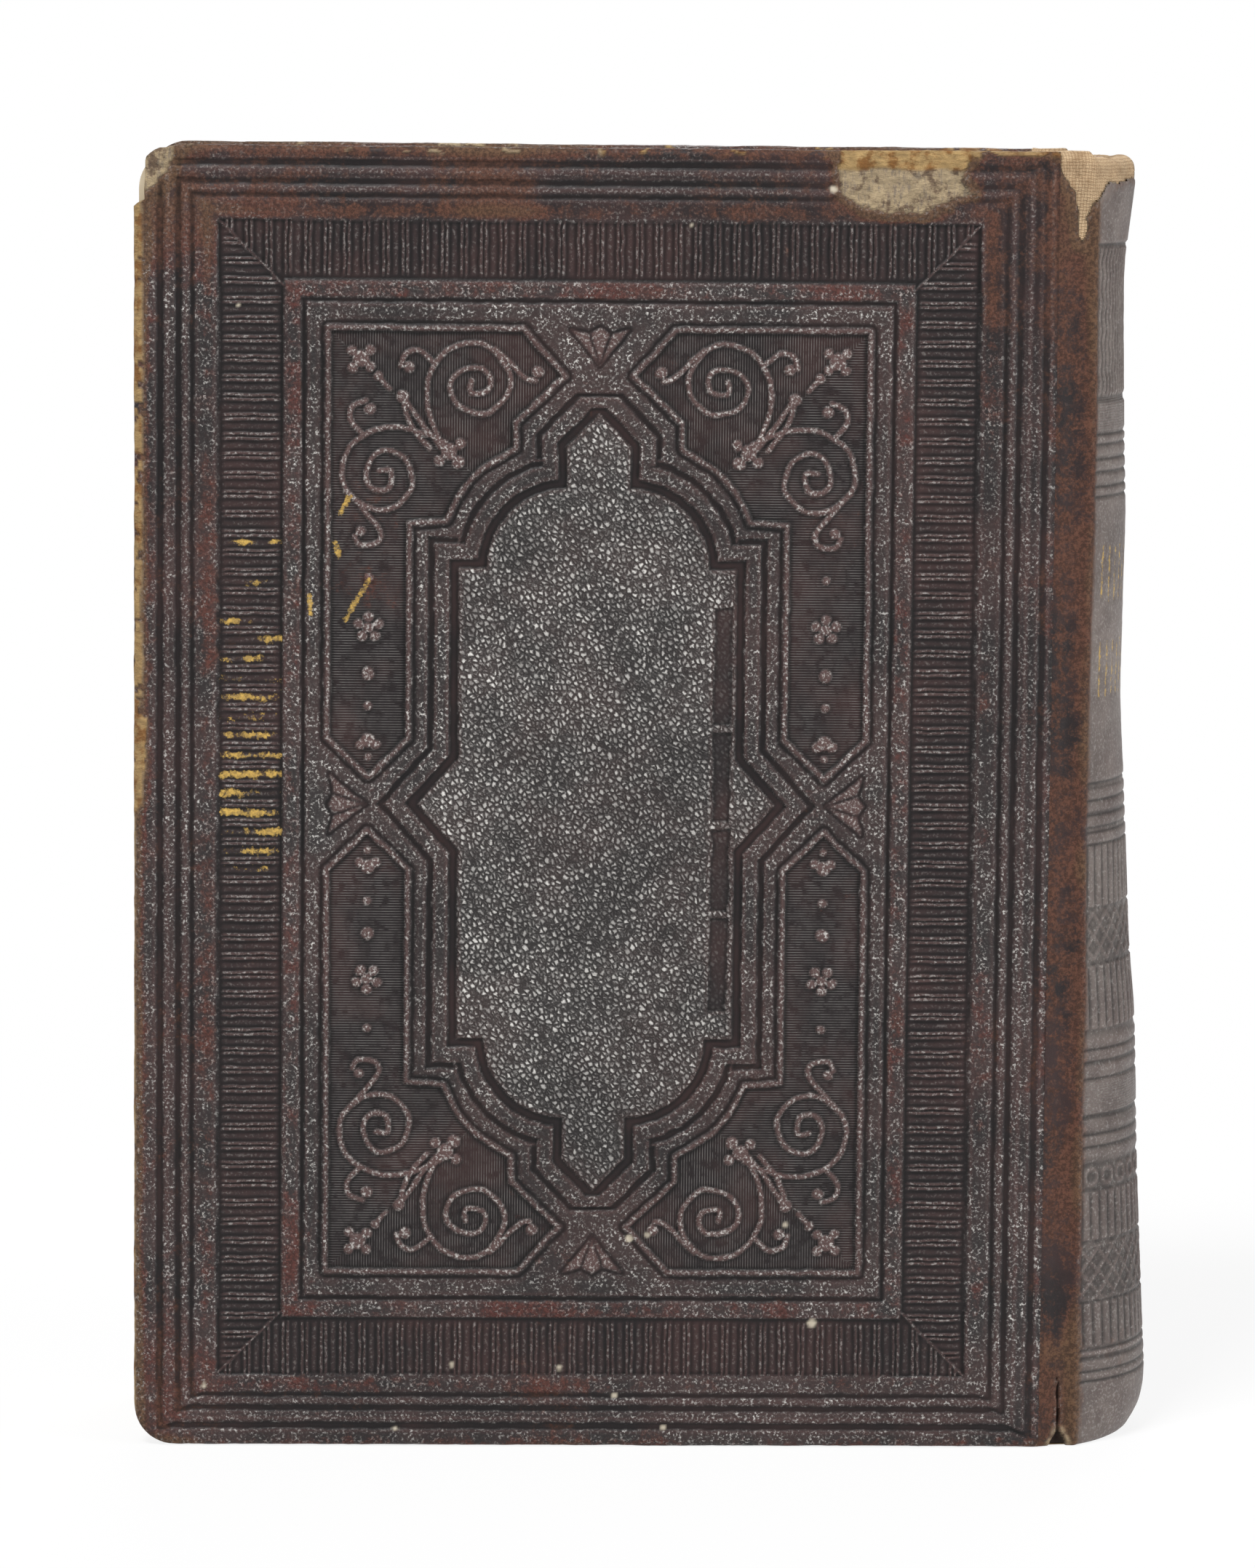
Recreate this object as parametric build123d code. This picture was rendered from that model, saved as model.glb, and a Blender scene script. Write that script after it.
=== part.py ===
from build123d import *
import math
import os

# A leather-bound prayer book standing on its tail edge, fore-edge towards -X and spine towards +X.
# The back cover faces -Y and the front cover +Y; all lengths are in millimetres.
# Every piece of the front half is the mirror of the back half's piece, except where it says otherwise.

# ---- driving sizes: covers -----------------------------------------------------------------------
book_height = 190.0
board_width = 133.0            # fore-edge to the spine edge of a board
board_thickness = 2.4
cover_leather = 0.8            # leather on the boards and on the spine
corner_radius = 6.0            # worn round corners at the fore-edge
edge_round = 0.5               # soft outer edge of the covering leather
turn_in_width = 12.0           # leather folded over onto the inside of a board
turn_in_thickness = 0.5        # pared thin there, and let into the board
pastedown_thickness = 0.2
pastedown_margin = 4.0         # leather left showing round the pasted-down endpaper

# ---- driving sizes: spine and joints ---------------------------------------------------------------
joint_width = 5.5              # flexing strip between a board and the shoulder of the spine
joint_slit = 0.6               # running gap between a board and that strip
joint_dip_at_board = 0.4       # how far the strip lies below the cover's face at the board
joint_dip_at_fold = 1.4        # and at the shoulder, where it turns into the spine
tail_edge_bulge = 9.5          # how far the spine stands out past the shoulder, at its tail edge
tail_bulge = 12.0              # at the flared tail
tail_flare_height = 11.0
lower_bulge = 9.7
lower_station = 40.0           # height of the lower station on the spine
middle_bulge = 7.3
waist_bulge = 5.8              # at the narrowest place, near the head
waist_from_head = 25.0
head_bulge = 7.3
spine_spans = 16               # even spans between the sections that shape the spine
linen_thickness = 0.3          # linen that lines the spine leather
linen_set_in = 0.6             # linen stops this short of the head and tail
layer_gap = 0.15               # between two layers that follow the rounded spine
waist_clearance = 0.35         # between the linen and the lining at the waist

# ---- driving sizes: sewn block ---------------------------------------------------------------------
sections_per_half = 12
section_thickness = 1.22
square = 3.0                   # boards stand out past the pages on three sides
block_bulge = 5.0              # rounding of the backed block
lining_thickness = 0.6         # glued paper lining on the backed folds
lining_end_margin = 1.5
tape_count = 3
tape_width = 10.0
tape_thickness = 0.35
tape_margin = 36.0             # outer tapes' distance from the ends of the block
kettle_margin = 11.0           # kettle stitches' distance from the ends of the block
thread_radius = 0.22
thread_sides = 6
headband_radius = 1.0
headband_sides = 10            # strands laid round a headband
headband_set_in = 1.3          # headband's centre line, in from the backed folds
window_clearance = 0.3         # round a tape or thread in its window in the lining
middle_margin = 2.0            # windows stop this short of the middle plane
headband_end_margin = 1.5      # headband stops this short of the block's outer face

# ---- driving sizes: loose leaves -------------------------------------------------------------------
leaf_count = 4                 # single leaves that turn in the middle of the block
leaf_thickness = 0.2
turning_gap = 0.3              # between leaves, flyleaf, cover and block
flyleaf_set_in = 1.0           # flyleaf's hinge, in from the spine edge of the board
leaf_set_in = 0.6              # middle leaves' spine edge, in from the folds beside them
half_gap = 0.15                # each half of the spine stops this short of the middle plane

# ---- driving sizes: blind-stamped panel --------------------------------------------------------------
panel_offset = 0.5             # stamped panel's centre, towards the spine from the board's centre
panel_half_width = 54.75       # outer edge of the ribbed border
panel_half_height = 84.5
border_width = 9.2
stamp_depth = 0.4
line_depth = 0.28
rib_pitch = 2.8
rib_width = 1.1
rib_drop = 0.12                # rib tops below the face of the leather
rib_end_gap = 0.45
outer_lines = [(3.0, 3.8), (5.0, 6.4), (7.6, 9.0)]   # grooves outside the border: start and end
inner_groove = (2.4, 3.2)      # groove inside the border
cartouche_grooves = [(0.0, 1.4), (3.6, 4.55)]        # offsets outwards from the central panel
panel_line = 0.45              # half the raised line round a corner panel
corner_panel_edge = 6.7        # corner panels' line, in from the border's inner edge

# ---- driving sizes: rules stamped across the spine, by height from the middle ---------------------------
rule_heights = [-81.5, -52.6, -46.6, -40.0, -34.0, -3.5, 3.0, 45.4, 54.0, 81.7]
rule_width = 1.0

# ---- driving sizes: wear -----------------------------------------------------------------------------
head_wear = 4.0                # spine leather lost at the head
joint_tear_depth = 11.4        # depth of the tear that follows the joint at the head
joint_tear_tip = -2.3          # its tip, measured from the shoulder
joint_tear_sides = (-4.8, 2.0)
patch_near, patch_far = 34.2, 53.9      # patch torn from the back cover's head, from the panel's centre
patch_depth = 9.0
bare_corner = 5.6              # leather lost at the back cover's head corner

# ---- derived sizes -----------------------------------------------------------------------------------
overall_length = board_width + joint_width + tail_bulge
fore_x = -overall_length / 2
board_x = fore_x + board_width            # spine edge of the boards
fold_x = board_x + joint_width            # shoulder, where the joint turns into the spine

middle_half = (leaf_count * leaf_thickness + (leaf_count + 1) * turning_gap) / 2
block_half = middle_half + sections_per_half * section_thickness
flyleaf_inner = block_half + turning_gap
pastedown_inner = flyleaf_inner + leaf_thickness + turning_gap
board_inner = pastedown_inner + pastedown_thickness
board_outer = board_inner + board_thickness
cover_outer = board_outer + cover_leather

page_tail = square
page_head = book_height - square
page_height = page_head - page_tail


def arc_radius(rise, half_chord):
    """Radius of the arc that rises by rise over half a chord."""
    return (rise ** 2 + half_chord ** 2) / (2 * rise)


layers_at_waist = cover_leather + linen_thickness + lining_thickness + 2 * layer_gap + waist_clearance
block_radius = arc_radius(block_bulge, block_half)
block_apex = fold_x + waist_bulge - layers_at_waist
block_centre_x = block_apex - block_radius
lining_radius_in = block_radius + layer_gap
lining_radius_out = lining_radius_in + lining_thickness


def block_back_x(y):
    """X of the backed folds at distance y from the middle plane."""
    return block_centre_x + math.sqrt(block_radius ** 2 - y ** 2)


page_width = block_back_x(block_half) - (fore_x + square)


# ---- small helpers -------------------------------------------------------------------------------------
def slab(x0, x1, y0, y1, z0, z1):
    """Box between two opposite corners."""
    return Pos(x0, y0, z0) * Box(x1 - x0, y1 - y0, z1 - z0, align=(Align.MIN,) * 3)


def to_back(flat):
    """Stand a piece drawn flat (x, height, distance outwards) up on the back side of the book."""
    return Rot(90, 0, 0) * flat


def front_of(back_piece):
    """The front half's piece that mirrors a piece of the back half."""
    return mirror(back_piece, about=Plane.XZ)


def save(name, piece):
    piece.label = name
    export_step(piece, f"parts/{name}.step")


# ---- covers, drawn flat: x, height and distance w outwards from the middle plane --------------------------
def cover_plan(inset, radius):
    """Outline of a cover, inset on the three turned-in sides and square at the spine edge."""
    width = board_width - inset
    height = book_height - 2 * inset
    outline = Pos(fore_x + inset, inset) * Rectangle(width, height, align=(Align.MIN, Align.MIN))
    if radius > 0:
        outline = fillet(outline.vertices().sort_by(Axis.X)[:2], radius)
    return outline


def plate(outline, w0, w1):
    """Outline extruded between two distances from the middle plane."""
    return extrude(Pos(0, 0, w0) * outline, w1 - w0)


def board():
    """Millboard with a shallow rabbet that takes the turned-in leather."""
    radius = corner_radius - cover_leather / 2
    body = plate(cover_plan(cover_leather, radius), board_inner + turn_in_thickness, board_outer)
    return body + plate(cover_plan(turn_in_width, 0), board_inner, board_inner + turn_in_thickness)


def covering():
    """Leather over the outer face and three edges of the board, turned in on its inside."""
    body = plate(cover_plan(0, corner_radius), board_inner, cover_outer)
    outer_edges = body.faces().sort_by(Axis.Z)[-1].edges().filter_by(lambda e: e.center().X < board_x - 1e-3)
    body = fillet(outer_edges, edge_round)
    pocket = cover_plan(cover_leather, corner_radius - cover_leather)
    body -= plate(pocket, board_inner + turn_in_thickness, board_outer)
    return body - plate(cover_plan(turn_in_width, 0), board_inner, board_outer)


def pastedown():
    """Endpaper pasted to the inside of the cover."""
    return plate(cover_plan(pastedown_margin, 0), pastedown_inner, board_inner)


# ---- blind-stamped panel, drawn about its own centre --------------------------------------------------------
def frame_ring(outside, inside):
    """Flat ring between two distances outwards (inwards if negative) from the border's outer edge."""
    outer = Rectangle(2 * (panel_half_width + outside), 2 * (panel_half_height + outside))
    return outer - Rectangle(2 * (panel_half_width + inside), 2 * (panel_half_height + inside))


def rib_row(length, across):
    """Ribs along one side of the border: bars across the border, evenly spaced over its length."""
    count = int(length // rib_pitch)
    bar = Rectangle(rib_width, border_width - 2 * rib_end_gap)
    spacing = [(index - (count - 1) / 2) * rib_pitch for index in range(count)]
    return [Pos(place, across) * bar for place in spacing]


def ribs():
    """Ribs on the border's four sides, which stop short of its mitred corners."""
    middle = border_width / 2
    inner_width = 2 * (panel_half_width - border_width)
    inner_height = 2 * (panel_half_height - border_width)
    bars = []
    for side in (-1, 1):
        bars += rib_row(inner_width, side * (panel_half_height - middle))
        bars += [Rot(0, 0, 90) * bar for bar in rib_row(inner_height, side * (panel_half_width - middle))]
    return Sketch() + bars


def four_ways(shape):
    """Shape of one quarter of the panel, with its mirror images in the other three."""
    half = Sketch() + [shape, mirror(shape, about=Plane.YZ)]
    return Sketch() + [half, mirror(half, about=Plane.XZ)]


def central_panel():
    """Cartouche in the middle: pointed ends, bowed shoulders, straight flanks and a pointed waist."""
    point, neck, step = 56.7, 5.0, 52.2
    bow_start, bow_side, flank, ledge, waist_start, waist = 46.3, 16.5, 20.0, 33.8, 6.6, 25.9
    outline = [
        Line((0, point), (neck, step)),
        Line((neck, step), (neck, bow_start)),
        ThreePointArc((neck, bow_start), (12.9, 42.5), (bow_side, ledge)),
        Line((bow_side, ledge), (flank, ledge)),
        Line((flank, ledge), (flank, waist_start)),
        Line((flank, waist_start), (waist, 0)),
        Line((waist, 0), (0, 0)),
        Line((0, 0), (0, point)),
    ]
    return four_ways(make_face(outline))


def corner_panel():
    """One recessed corner panel, with a pointed lobe above and a pointed strip beside the cartouche."""
    far_x = panel_half_width - border_width - corner_panel_edge
    far_z = panel_half_height - border_width - corner_panel_edge
    outline = [
        Line((11.9, far_z), (5.6, 62.1)),
        Line((5.6, 62.1), (12.0, 55.5)),
        Line((12.0, 55.5), (12.0, 52.0)),
        ThreePointArc((12.0, 52.0), (18.9, 47.3), (22.5, 41.0)),
        Line((22.5, 41.0), (27.2, 40.6)),
        Line((27.2, 40.6), (27.2, 9.6)),
        Line((27.2, 9.6), (33.1, 3.9)),
        Line((33.1, 3.9), (far_x, 9.6)),
        Line((far_x, 9.6), (far_x, far_z)),
        Line((far_x, far_z), (11.9, far_z)),
    ]
    return offset(make_face(outline), -panel_line, kind=Kind.INTERSECTION)


def outwards(shape, distance):
    """Shape grown by a distance, with pointed corners."""
    return offset(shape, distance, kind=Kind.INTERSECTION) if distance else shape


def stamping():
    """Everything that the stamping block presses into the leather, in its place on the cover's face."""
    border = frame_ring(0, -border_width)
    lines = [frame_ring(end, start) for start, end in outer_lines]
    lines.append(frame_ring(-border_width - inner_groove[0], -border_width - inner_groove[1]))
    cartouche = central_panel()
    lines += [outwards(cartouche, end) - outwards(cartouche, start) for start, end in cartouche_grooves]
    lines.append(four_ways(corner_panel()))
    cuts = [(border, rib_drop), (border - ribs(), stamp_depth)]
    cuts += [(line, line_depth) for line in lines]
    place = Pos(fore_x + board_width / 2 + panel_offset, book_height / 2)
    return [place * plate(shape, cover_outer - depth, cover_outer + 1) for shape, depth in cuts]


def patch():
    """Torn place at the head of the back cover, where the board shows."""
    centre_x = fore_x + board_width / 2 + panel_offset
    near, far = centre_x + patch_near, centre_x + patch_far
    low = book_height - patch_depth
    outline = Polyline(
        (near, book_height + 1), (near, low + 0.6 * patch_depth), (near + 6.0, low + 0.15 * patch_depth),
        (near + 12.0, low), (far - 4.5, low + 0.4 * patch_depth), (far - 1.0, low + 0.35 * patch_depth),
        (far, low + 0.75 * patch_depth), (far, book_height + 1), close=True)
    return plate(make_face(outline), board_inner + turn_in_thickness, cover_outer + 1)


def corner_loss():
    """Worn corner at the head of the back cover's fore-edge."""
    top = book_height + 1
    left = fore_x - 1
    outline = Polyline((left, top), (left + 1 + bare_corner, top), (left + 1.5 + bare_corner / 2,
                       book_height - bare_corner), (left, book_height - 1.2 * bare_corner), close=True)
    return plate(make_face(outline), board_inner + turn_in_thickness, cover_outer + 1)


# ---- spine ---------------------------------------------------------------------------------------------------
def spine_section(height, bulge, depth, thickness):
    """Half of a layer of the spine at one height: joint strip, shoulder and half of the rounded back.

    depth is the layer's distance in from the outside of the leather.
    """
    shoulder = cover_outer - joint_dip_at_fold
    radius = arc_radius(bulge, shoulder)
    centre_x = fold_x + bulge - radius

    def points(inset):
        r = radius - inset
        start = (board_x + joint_slit, -(cover_outer - joint_dip_at_board - inset))
        fold_y = shoulder - inset
        fold = (centre_x + math.sqrt(r ** 2 - fold_y ** 2), -fold_y)
        apex = (centre_x + math.sqrt(r ** 2 - half_gap ** 2), -half_gap)
        middle = (centre_x + math.sqrt(r ** 2 - (fold_y / 2) ** 2), -fold_y / 2)
        return start, fold, middle, apex

    start, fold, middle, apex = points(depth)
    inner_start, inner_fold, inner_middle, inner_apex = points(depth + thickness)
    outline = [
        Line(start, fold),
        ThreePointArc(fold, middle, apex),
        Line(apex, inner_apex),
        ThreePointArc(inner_apex, inner_middle, inner_fold),
        Line(inner_fold, inner_start),
        Line(inner_start, start),
    ]
    return Pos(0, 0, height) * make_face(outline)


def spine_bulge(height):
    """How far the spine stands out past the shoulder at one height, in line between its stations."""
    waist_station = book_height - waist_from_head
    middle_station = (lower_station + waist_station) / 2
    stations = [
        (0, tail_edge_bulge), (tail_flare_height, tail_bulge), (lower_station, lower_bulge),
        (middle_station, middle_bulge), (waist_station, waist_bulge), (book_height, head_bulge),
    ]
    for (low, low_bulge), (high, high_bulge) in zip(stations, stations[1:]):
        if height <= high:
            break
    share = (height - low) / (high - low)
    return low_bulge + share * (high_bulge - low_bulge)


def spine_layer(depth, thickness):
    """Back half of one layer of the spine, flared at the tail and waisted near the head."""
    heights = [book_height * index / spine_spans for index in range(spine_spans + 1)]
    sections = [spine_section(height, spine_bulge(height), depth, thickness) for height in heights]
    return loft(sections, ruled=True)


def spine_rules():
    """Grooves of the rules stamped across the back half of the spine."""
    skin = spine_layer(-line_depth, 2 * line_depth)
    reach = fold_x + 2 * tail_bulge
    levels = [book_height / 2 + height for height in rule_heights]
    bands = [slab(fold_x, reach, -cover_outer, 0, level - rule_width / 2, level + rule_width / 2)
             for level in levels]
    return [skin & band for band in bands]


def spine_leather():
    """Back half of the spine leather, stamped with rules and worn down at the head."""
    top = book_height - head_wear
    lost = slab(fold_x, fold_x + 2 * tail_bulge, -cover_outer, 0, top, book_height + 1)
    leather = spine_layer(0, cover_leather) - lost
    for rule in spine_rules():
        leather -= rule
    return leather


def joint_tear():
    """Triangular tear that follows the back joint down from the head."""
    left, right = fold_x + joint_tear_sides[0], fold_x + joint_tear_sides[1]
    shoulder_z = book_height - head_wear
    outline = Polyline((left, book_height + 1), (left, shoulder_z + 0.7),
                       (fold_x + joint_tear_tip, book_height - joint_tear_depth),
                       (right, shoulder_z), (right, book_height + 1), close=True)
    return extrude(Plane.XZ * make_face(outline), cover_outer)


def spine_linen():
    """Back half of the linen that lines the spine leather and shows at the worn head."""
    layer = spine_layer(cover_leather + layer_gap, linen_thickness)
    reach = 2 * tail_bulge
    return layer & slab(board_x, fold_x + reach, -cover_outer, 0, linen_set_in, book_height - linen_set_in)


# ---- sewn block ------------------------------------------------------------------------------------------------
def back_sector(radius_in, radius_out, half_width):
    """Back half of a ring that follows the rounded back of the block, from the middle plane outwards."""
    start = math.asin(half_gap / radius_in)
    end = math.asin(half_width / radius_in)

    def on(radius, angle):
        return (block_centre_x + radius * math.cos(angle), -radius * math.sin(angle))

    middle = (start + end) / 2
    return make_face([
        Line(on(radius_in, start), on(radius_out, start)),
        ThreePointArc(on(radius_out, start), on(radius_out, middle), on(radius_out, end)),
        Line(on(radius_out, end), on(radius_in, end)),
        ThreePointArc(on(radius_in, end), on(radius_in, middle), on(radius_in, start)),
    ])


def tape_heights():
    """Middle heights of the sewing tapes."""
    low = page_tail + tape_margin
    step = (page_height - 2 * tape_margin) / (tape_count - 1)
    return [low + index * step for index in range(tape_count)]


def kettle_heights():
    """Heights of the kettle stitches near the tail and the head."""
    return [page_tail + kettle_margin, page_head - kettle_margin]


def lining():
    """Back half of the paper lining, with windows for the tapes and kettle stitches."""
    window_reach = section_thickness * (sections_per_half - 1)
    sector = back_sector(lining_radius_in, lining_radius_out, block_half)
    height = page_height - 2 * lining_end_margin
    body = extrude(Pos(0, 0, page_tail + lining_end_margin) * sector, height)
    reach = lining_radius_out + 1
    windows = [(z, tape_width / 2 + window_clearance) for z in tape_heights()]
    windows += [(z, thread_radius + window_clearance) for z in kettle_heights()]
    for middle, half in windows:
        window = slab(0, reach, -window_reach, -middle_margin, middle - half, middle + half)
        body -= Pos(block_centre_x, 0, 0) * window
    return body


def tapes():
    """Sewing tapes across the back half of the folds, between the windows' ends."""
    inner = lining_radius_in
    sector = back_sector(inner, inner + tape_thickness, block_half)
    far = section_thickness * (sections_per_half - 1) - window_clearance
    limits = slab(0, lining_radius_out, -far, -middle_margin - window_clearance, 0, tape_width)
    strip = extrude(sector, tape_width) & (Pos(block_centre_x, 0, 0) * limits)
    return Compound([Pos(0, 0, z - tape_width / 2) * strip for z in tape_heights()])


def arc_roll(radius, strand_radius, sides, half_width, near, height):
    """Many-sided cord bent along the rounded back, between two distances from the middle plane."""
    start, end = math.asin(near / radius), math.asin(half_width / radius)
    path = CenterArc((block_centre_x, 0, height), radius, -math.degrees(end), math.degrees(end - start))
    return sweep(Plane(path @ 0, z_dir=path % 0) * RegularPolygon(strand_radius, sides), path=path)


def kettle_stitches():
    """Kettle-stitch threads that link the sections near the tail and the head."""
    reach = section_thickness * (sections_per_half - 1) - 2 * window_clearance
    radius = block_radius + layer_gap + thread_radius
    near = middle_margin + window_clearance
    return Compound([arc_roll(radius, thread_radius, thread_sides, reach, near, z) for z in kettle_heights()])


def headband(at_head):
    """Half of the rolled headband that sits on the end of the block, against the back."""
    if at_head:
        height = page_head + headband_radius + layer_gap
    else:
        height = page_tail - headband_radius - layer_gap
    radius = block_radius - headband_set_in
    return arc_roll(radius, headband_radius, headband_sides, block_half - headband_end_margin, half_gap, height)


def section(index):
    """One folded gathering: flat, rounded at its fold, and stepped with the rounding of the block."""
    inner = middle_half + index * section_thickness
    half = section_thickness / 2
    centre = inner + half
    fold = block_back_x(centre)
    body = Pos(fold - half, -centre) * Circle(half)
    body += Pos(fold - page_width, -centre) * Rectangle(page_width - half, section_thickness,
                                                      align=(Align.MIN, Align.CENTER))
    return extrude(Pos(0, 0, page_tail) * body, page_height)


def flyleaf():
    """Free half of the back endpaper."""
    return slab(fore_x + square, board_x - flyleaf_set_in, -flyleaf_inner - leaf_thickness, -flyleaf_inner,
                page_tail, page_head)


def middle_leaf(number):
    """Single leaf that turns by itself in the middle of the block, numbered from the back."""
    y = -middle_half + turning_gap + (number - 1) * (leaf_thickness + turning_gap)
    fore = block_back_x(0) - page_width
    return slab(fore, block_apex - leaf_set_in, y, y + leaf_thickness, page_tail, page_head)


# ---- build and save ----------------------------------------------------------------------------------------------
def build_covers():
    leather = covering()
    for cut in stamping():
        leather -= cut
    back_leather = leather - patch() - corner_loss()
    save("back_cover_leather", to_back(back_leather))
    save("front_cover_leather", front_of(to_back(leather)))
    for name, piece in (("board", to_back(board())), ("pastedown", to_back(pastedown()))):
        save(f"back_{name}", piece)
        save(f"front_{name}", front_of(piece))


def build_spine():
    leather = spine_leather()
    save("back_spine_leather", leather - joint_tear())
    save("front_spine_leather", front_of(leather))
    for name, piece in (("spine_linen", spine_linen()), ("spine_lining", lining()), ("sewing_tapes", tapes()),
                        ("kettle_stitches", kettle_stitches()), ("head_band", headband(True)),
                        ("tail_band", headband(False)), ("flyleaf", flyleaf())):
        save(f"back_{name}", piece)
        save(f"front_{name}", front_of(piece))


def build_block():
    for index in range(sections_per_half):
        piece = section(index)
        save(f"section_{sections_per_half - index:02d}", piece)
        save(f"section_{sections_per_half + 1 + index:02d}", front_of(piece))
    for number in range(1, leaf_count + 1):
        save(f"leaf_{number}", middle_leaf(number))


os.makedirs("parts", exist_ok=True)
build_covers()
build_spine()
build_block()
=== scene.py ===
"""Dressed model of a worn, leather-bound prayer book: blind-stamped covers, rounded spine and sewn block.

Shapes are worked out in millimetres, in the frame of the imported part, and written to meshes in metres.
Plan coordinates on a cover are (u, v), from the middle of its stamped panel: u towards the spine, v up.
"""
import logging
import math
from dataclasses import dataclass, field
from enum import Enum
from typing import Callable, Sequence

import bpy
import numpy as np
from mathutils import Matrix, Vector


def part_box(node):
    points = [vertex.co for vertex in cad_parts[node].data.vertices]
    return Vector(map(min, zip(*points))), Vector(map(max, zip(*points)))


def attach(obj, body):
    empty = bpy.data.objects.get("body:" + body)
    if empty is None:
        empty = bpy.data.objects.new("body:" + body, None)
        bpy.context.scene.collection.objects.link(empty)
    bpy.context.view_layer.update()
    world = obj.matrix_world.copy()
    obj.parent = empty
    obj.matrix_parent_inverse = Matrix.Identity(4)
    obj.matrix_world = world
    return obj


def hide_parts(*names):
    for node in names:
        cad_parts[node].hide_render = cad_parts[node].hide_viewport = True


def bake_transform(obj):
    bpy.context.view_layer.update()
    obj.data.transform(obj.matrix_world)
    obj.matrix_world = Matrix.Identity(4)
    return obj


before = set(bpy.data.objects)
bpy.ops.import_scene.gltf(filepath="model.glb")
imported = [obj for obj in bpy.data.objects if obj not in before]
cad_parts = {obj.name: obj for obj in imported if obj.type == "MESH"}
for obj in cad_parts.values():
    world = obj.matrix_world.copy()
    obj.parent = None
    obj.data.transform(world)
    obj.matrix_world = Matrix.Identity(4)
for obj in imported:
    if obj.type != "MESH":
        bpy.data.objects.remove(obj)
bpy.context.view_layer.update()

MM = 0.001
log = logging.getLogger("prayer_book")

Array = np.ndarray
Colour = tuple[float, float, float]
Fields = dict[str, Array]
Point = tuple[float, float]
Path = list[Point]

BORDER = (54.9, 84.4)           # half width and half height of the ribbed frame's outside
BORDER_INSIDE = (45.3, 75.7)    # and of its inside
COVER_HALF = (67.0, 95.0)       # from the panel's middle to the fore-edge, and to the head or the tail
RIB_PITCH = 2.8
PANEL_CORNER = (38.9, 68.7)     # outer corner of a corner panel
FAR = 200.0                     # past every edge of a cover


class Tooling(Enum):
    """Patterns stamped in rows across the spine."""

    RULES = "rules"
    BARS = "bars"
    FLUTES = "flutes"
    LATTICE = "lattice"
    RINGS = "rings"
    HATCH = "hatch"


class Side(Enum):
    """Which half of the book a piece belongs to: the sign of its outward Y direction."""

    BACK = -1
    FRONT = 1

    @property
    def word(self) -> str:
        """Name used in node, body and piece names."""
        return self.name.lower()


def srgb(red: int, green: int, blue: int) -> Colour:
    """Turn a colour written as 0 to 255 display values into linear light.

    Args:
        red: Display value of red.
        green: Display value of green.
        blue: Display value of blue.

    Returns:
        The three linear values.
    """
    shares = (np.array([red, green, blue]) / 255.0).tolist()
    linear = [s / 12.92 if s <= 0.04045 else ((s + 0.055) / 1.055) ** 2.4 for s in shares]
    return linear[0], linear[1], linear[2]


# ---- array helpers ----
def ramp(low: float, high: float, value: Array) -> Array:
    """Smooth step: 0 below low, 1 above high, 3t^2 - 2t^3 between them."""
    share = np.clip((value - low) / (high - low), 0.0, 1.0)
    return share * share * (3.0 - 2.0 * share)


def bump(value: Array, centre: float, half_width: float) -> Array:
    """Bell curve exp(-(d/w)^2) about a centre."""
    return np.exp(-(((value - centre) / half_width) ** 2))


def trough(value: Array, start: float, end: float, slope: float) -> Array:
    """1 between start and end, with smooth walls of the given width centred on both."""
    half = slope / 2
    return ramp(start - half, start + half, value) - ramp(end - half, end + half, value)


def lattice_noise(x: Array, y: Array, seed: int) -> Array:
    """Value noise: random heights on whole-number points, blended smoothly between them.

    Args:
        x: First coordinate, in cells.
        y: Second coordinate, in cells.
        seed: Chooses the table of random heights.

    Returns:
        Values from -1 to 1, in the shape of x.
    """
    table = np.random.default_rng(seed).uniform(-1, 1, (256, 256))
    column, row = np.floor(x).astype(int), np.floor(y).astype(int)
    across, up = ramp(0, 1, x - column), ramp(0, 1, y - row)
    low = table[row % 256, column % 256] * (1 - across) + table[row % 256, (column + 1) % 256] * across
    high = table[(row + 1) % 256, column % 256] * (1 - across)
    high += table[(row + 1) % 256, (column + 1) % 256] * across
    return low * (1 - up) + high * up


def rough(x: Array, y: Array, size: float, seed: int, octaves: int = 4) -> Array:
    """Sum of noise at halving sizes and strengths, from -1 to 1.

    Args:
        x: First coordinate.
        y: Second coordinate.
        size: Size of the largest lumps.
        seed: Chooses the pattern.
        octaves: How many sizes are added.

    Returns:
        The noise, in the shape of x.
    """
    total, strength = np.zeros(np.broadcast(x, y).shape), 1.0
    for octave in range(octaves):
        scale = 2.0**octave / size
        total += strength * lattice_noise(x * scale, y * scale, seed + octave)
        strength *= 0.5
    return total / (2.0 - 2.0 ** (1 - octaves))


def distance_to_path(path: Sequence[Point], x: Array, y: Array) -> Array:
    """Distance from every point to a line of straight runs: the least distance to any run."""
    nearest = np.full(x.shape, np.inf)
    for (ax, ay), (bx, by) in zip(path, path[1:]):
        run_x, run_y = bx - ax, by - ay
        share = np.clip(((x - ax) * run_x + (y - ay) * run_y) / (run_x**2 + run_y**2 + 1e-12), 0, 1)
        nearest = np.minimum(nearest, (x - ax - share * run_x) ** 2 + (y - ay - share * run_y) ** 2)
    return np.sqrt(nearest)


def inside_path(path: Sequence[Point], x: Array, y: Array) -> Array:
    """True inside a closed outline, by counting the runs that a ray towards +X crosses."""
    crossed = np.zeros(x.shape, bool)
    for (ax, ay), (bx, by) in zip(path, list(path[1:]) + [path[0]]):
        if ay == by:
            continue
        spans = (ay > y) != (by > y)
        crossed ^= spans & (x < (bx - ax) * (y - ay) / (by - ay) + ax)
    return crossed


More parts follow.
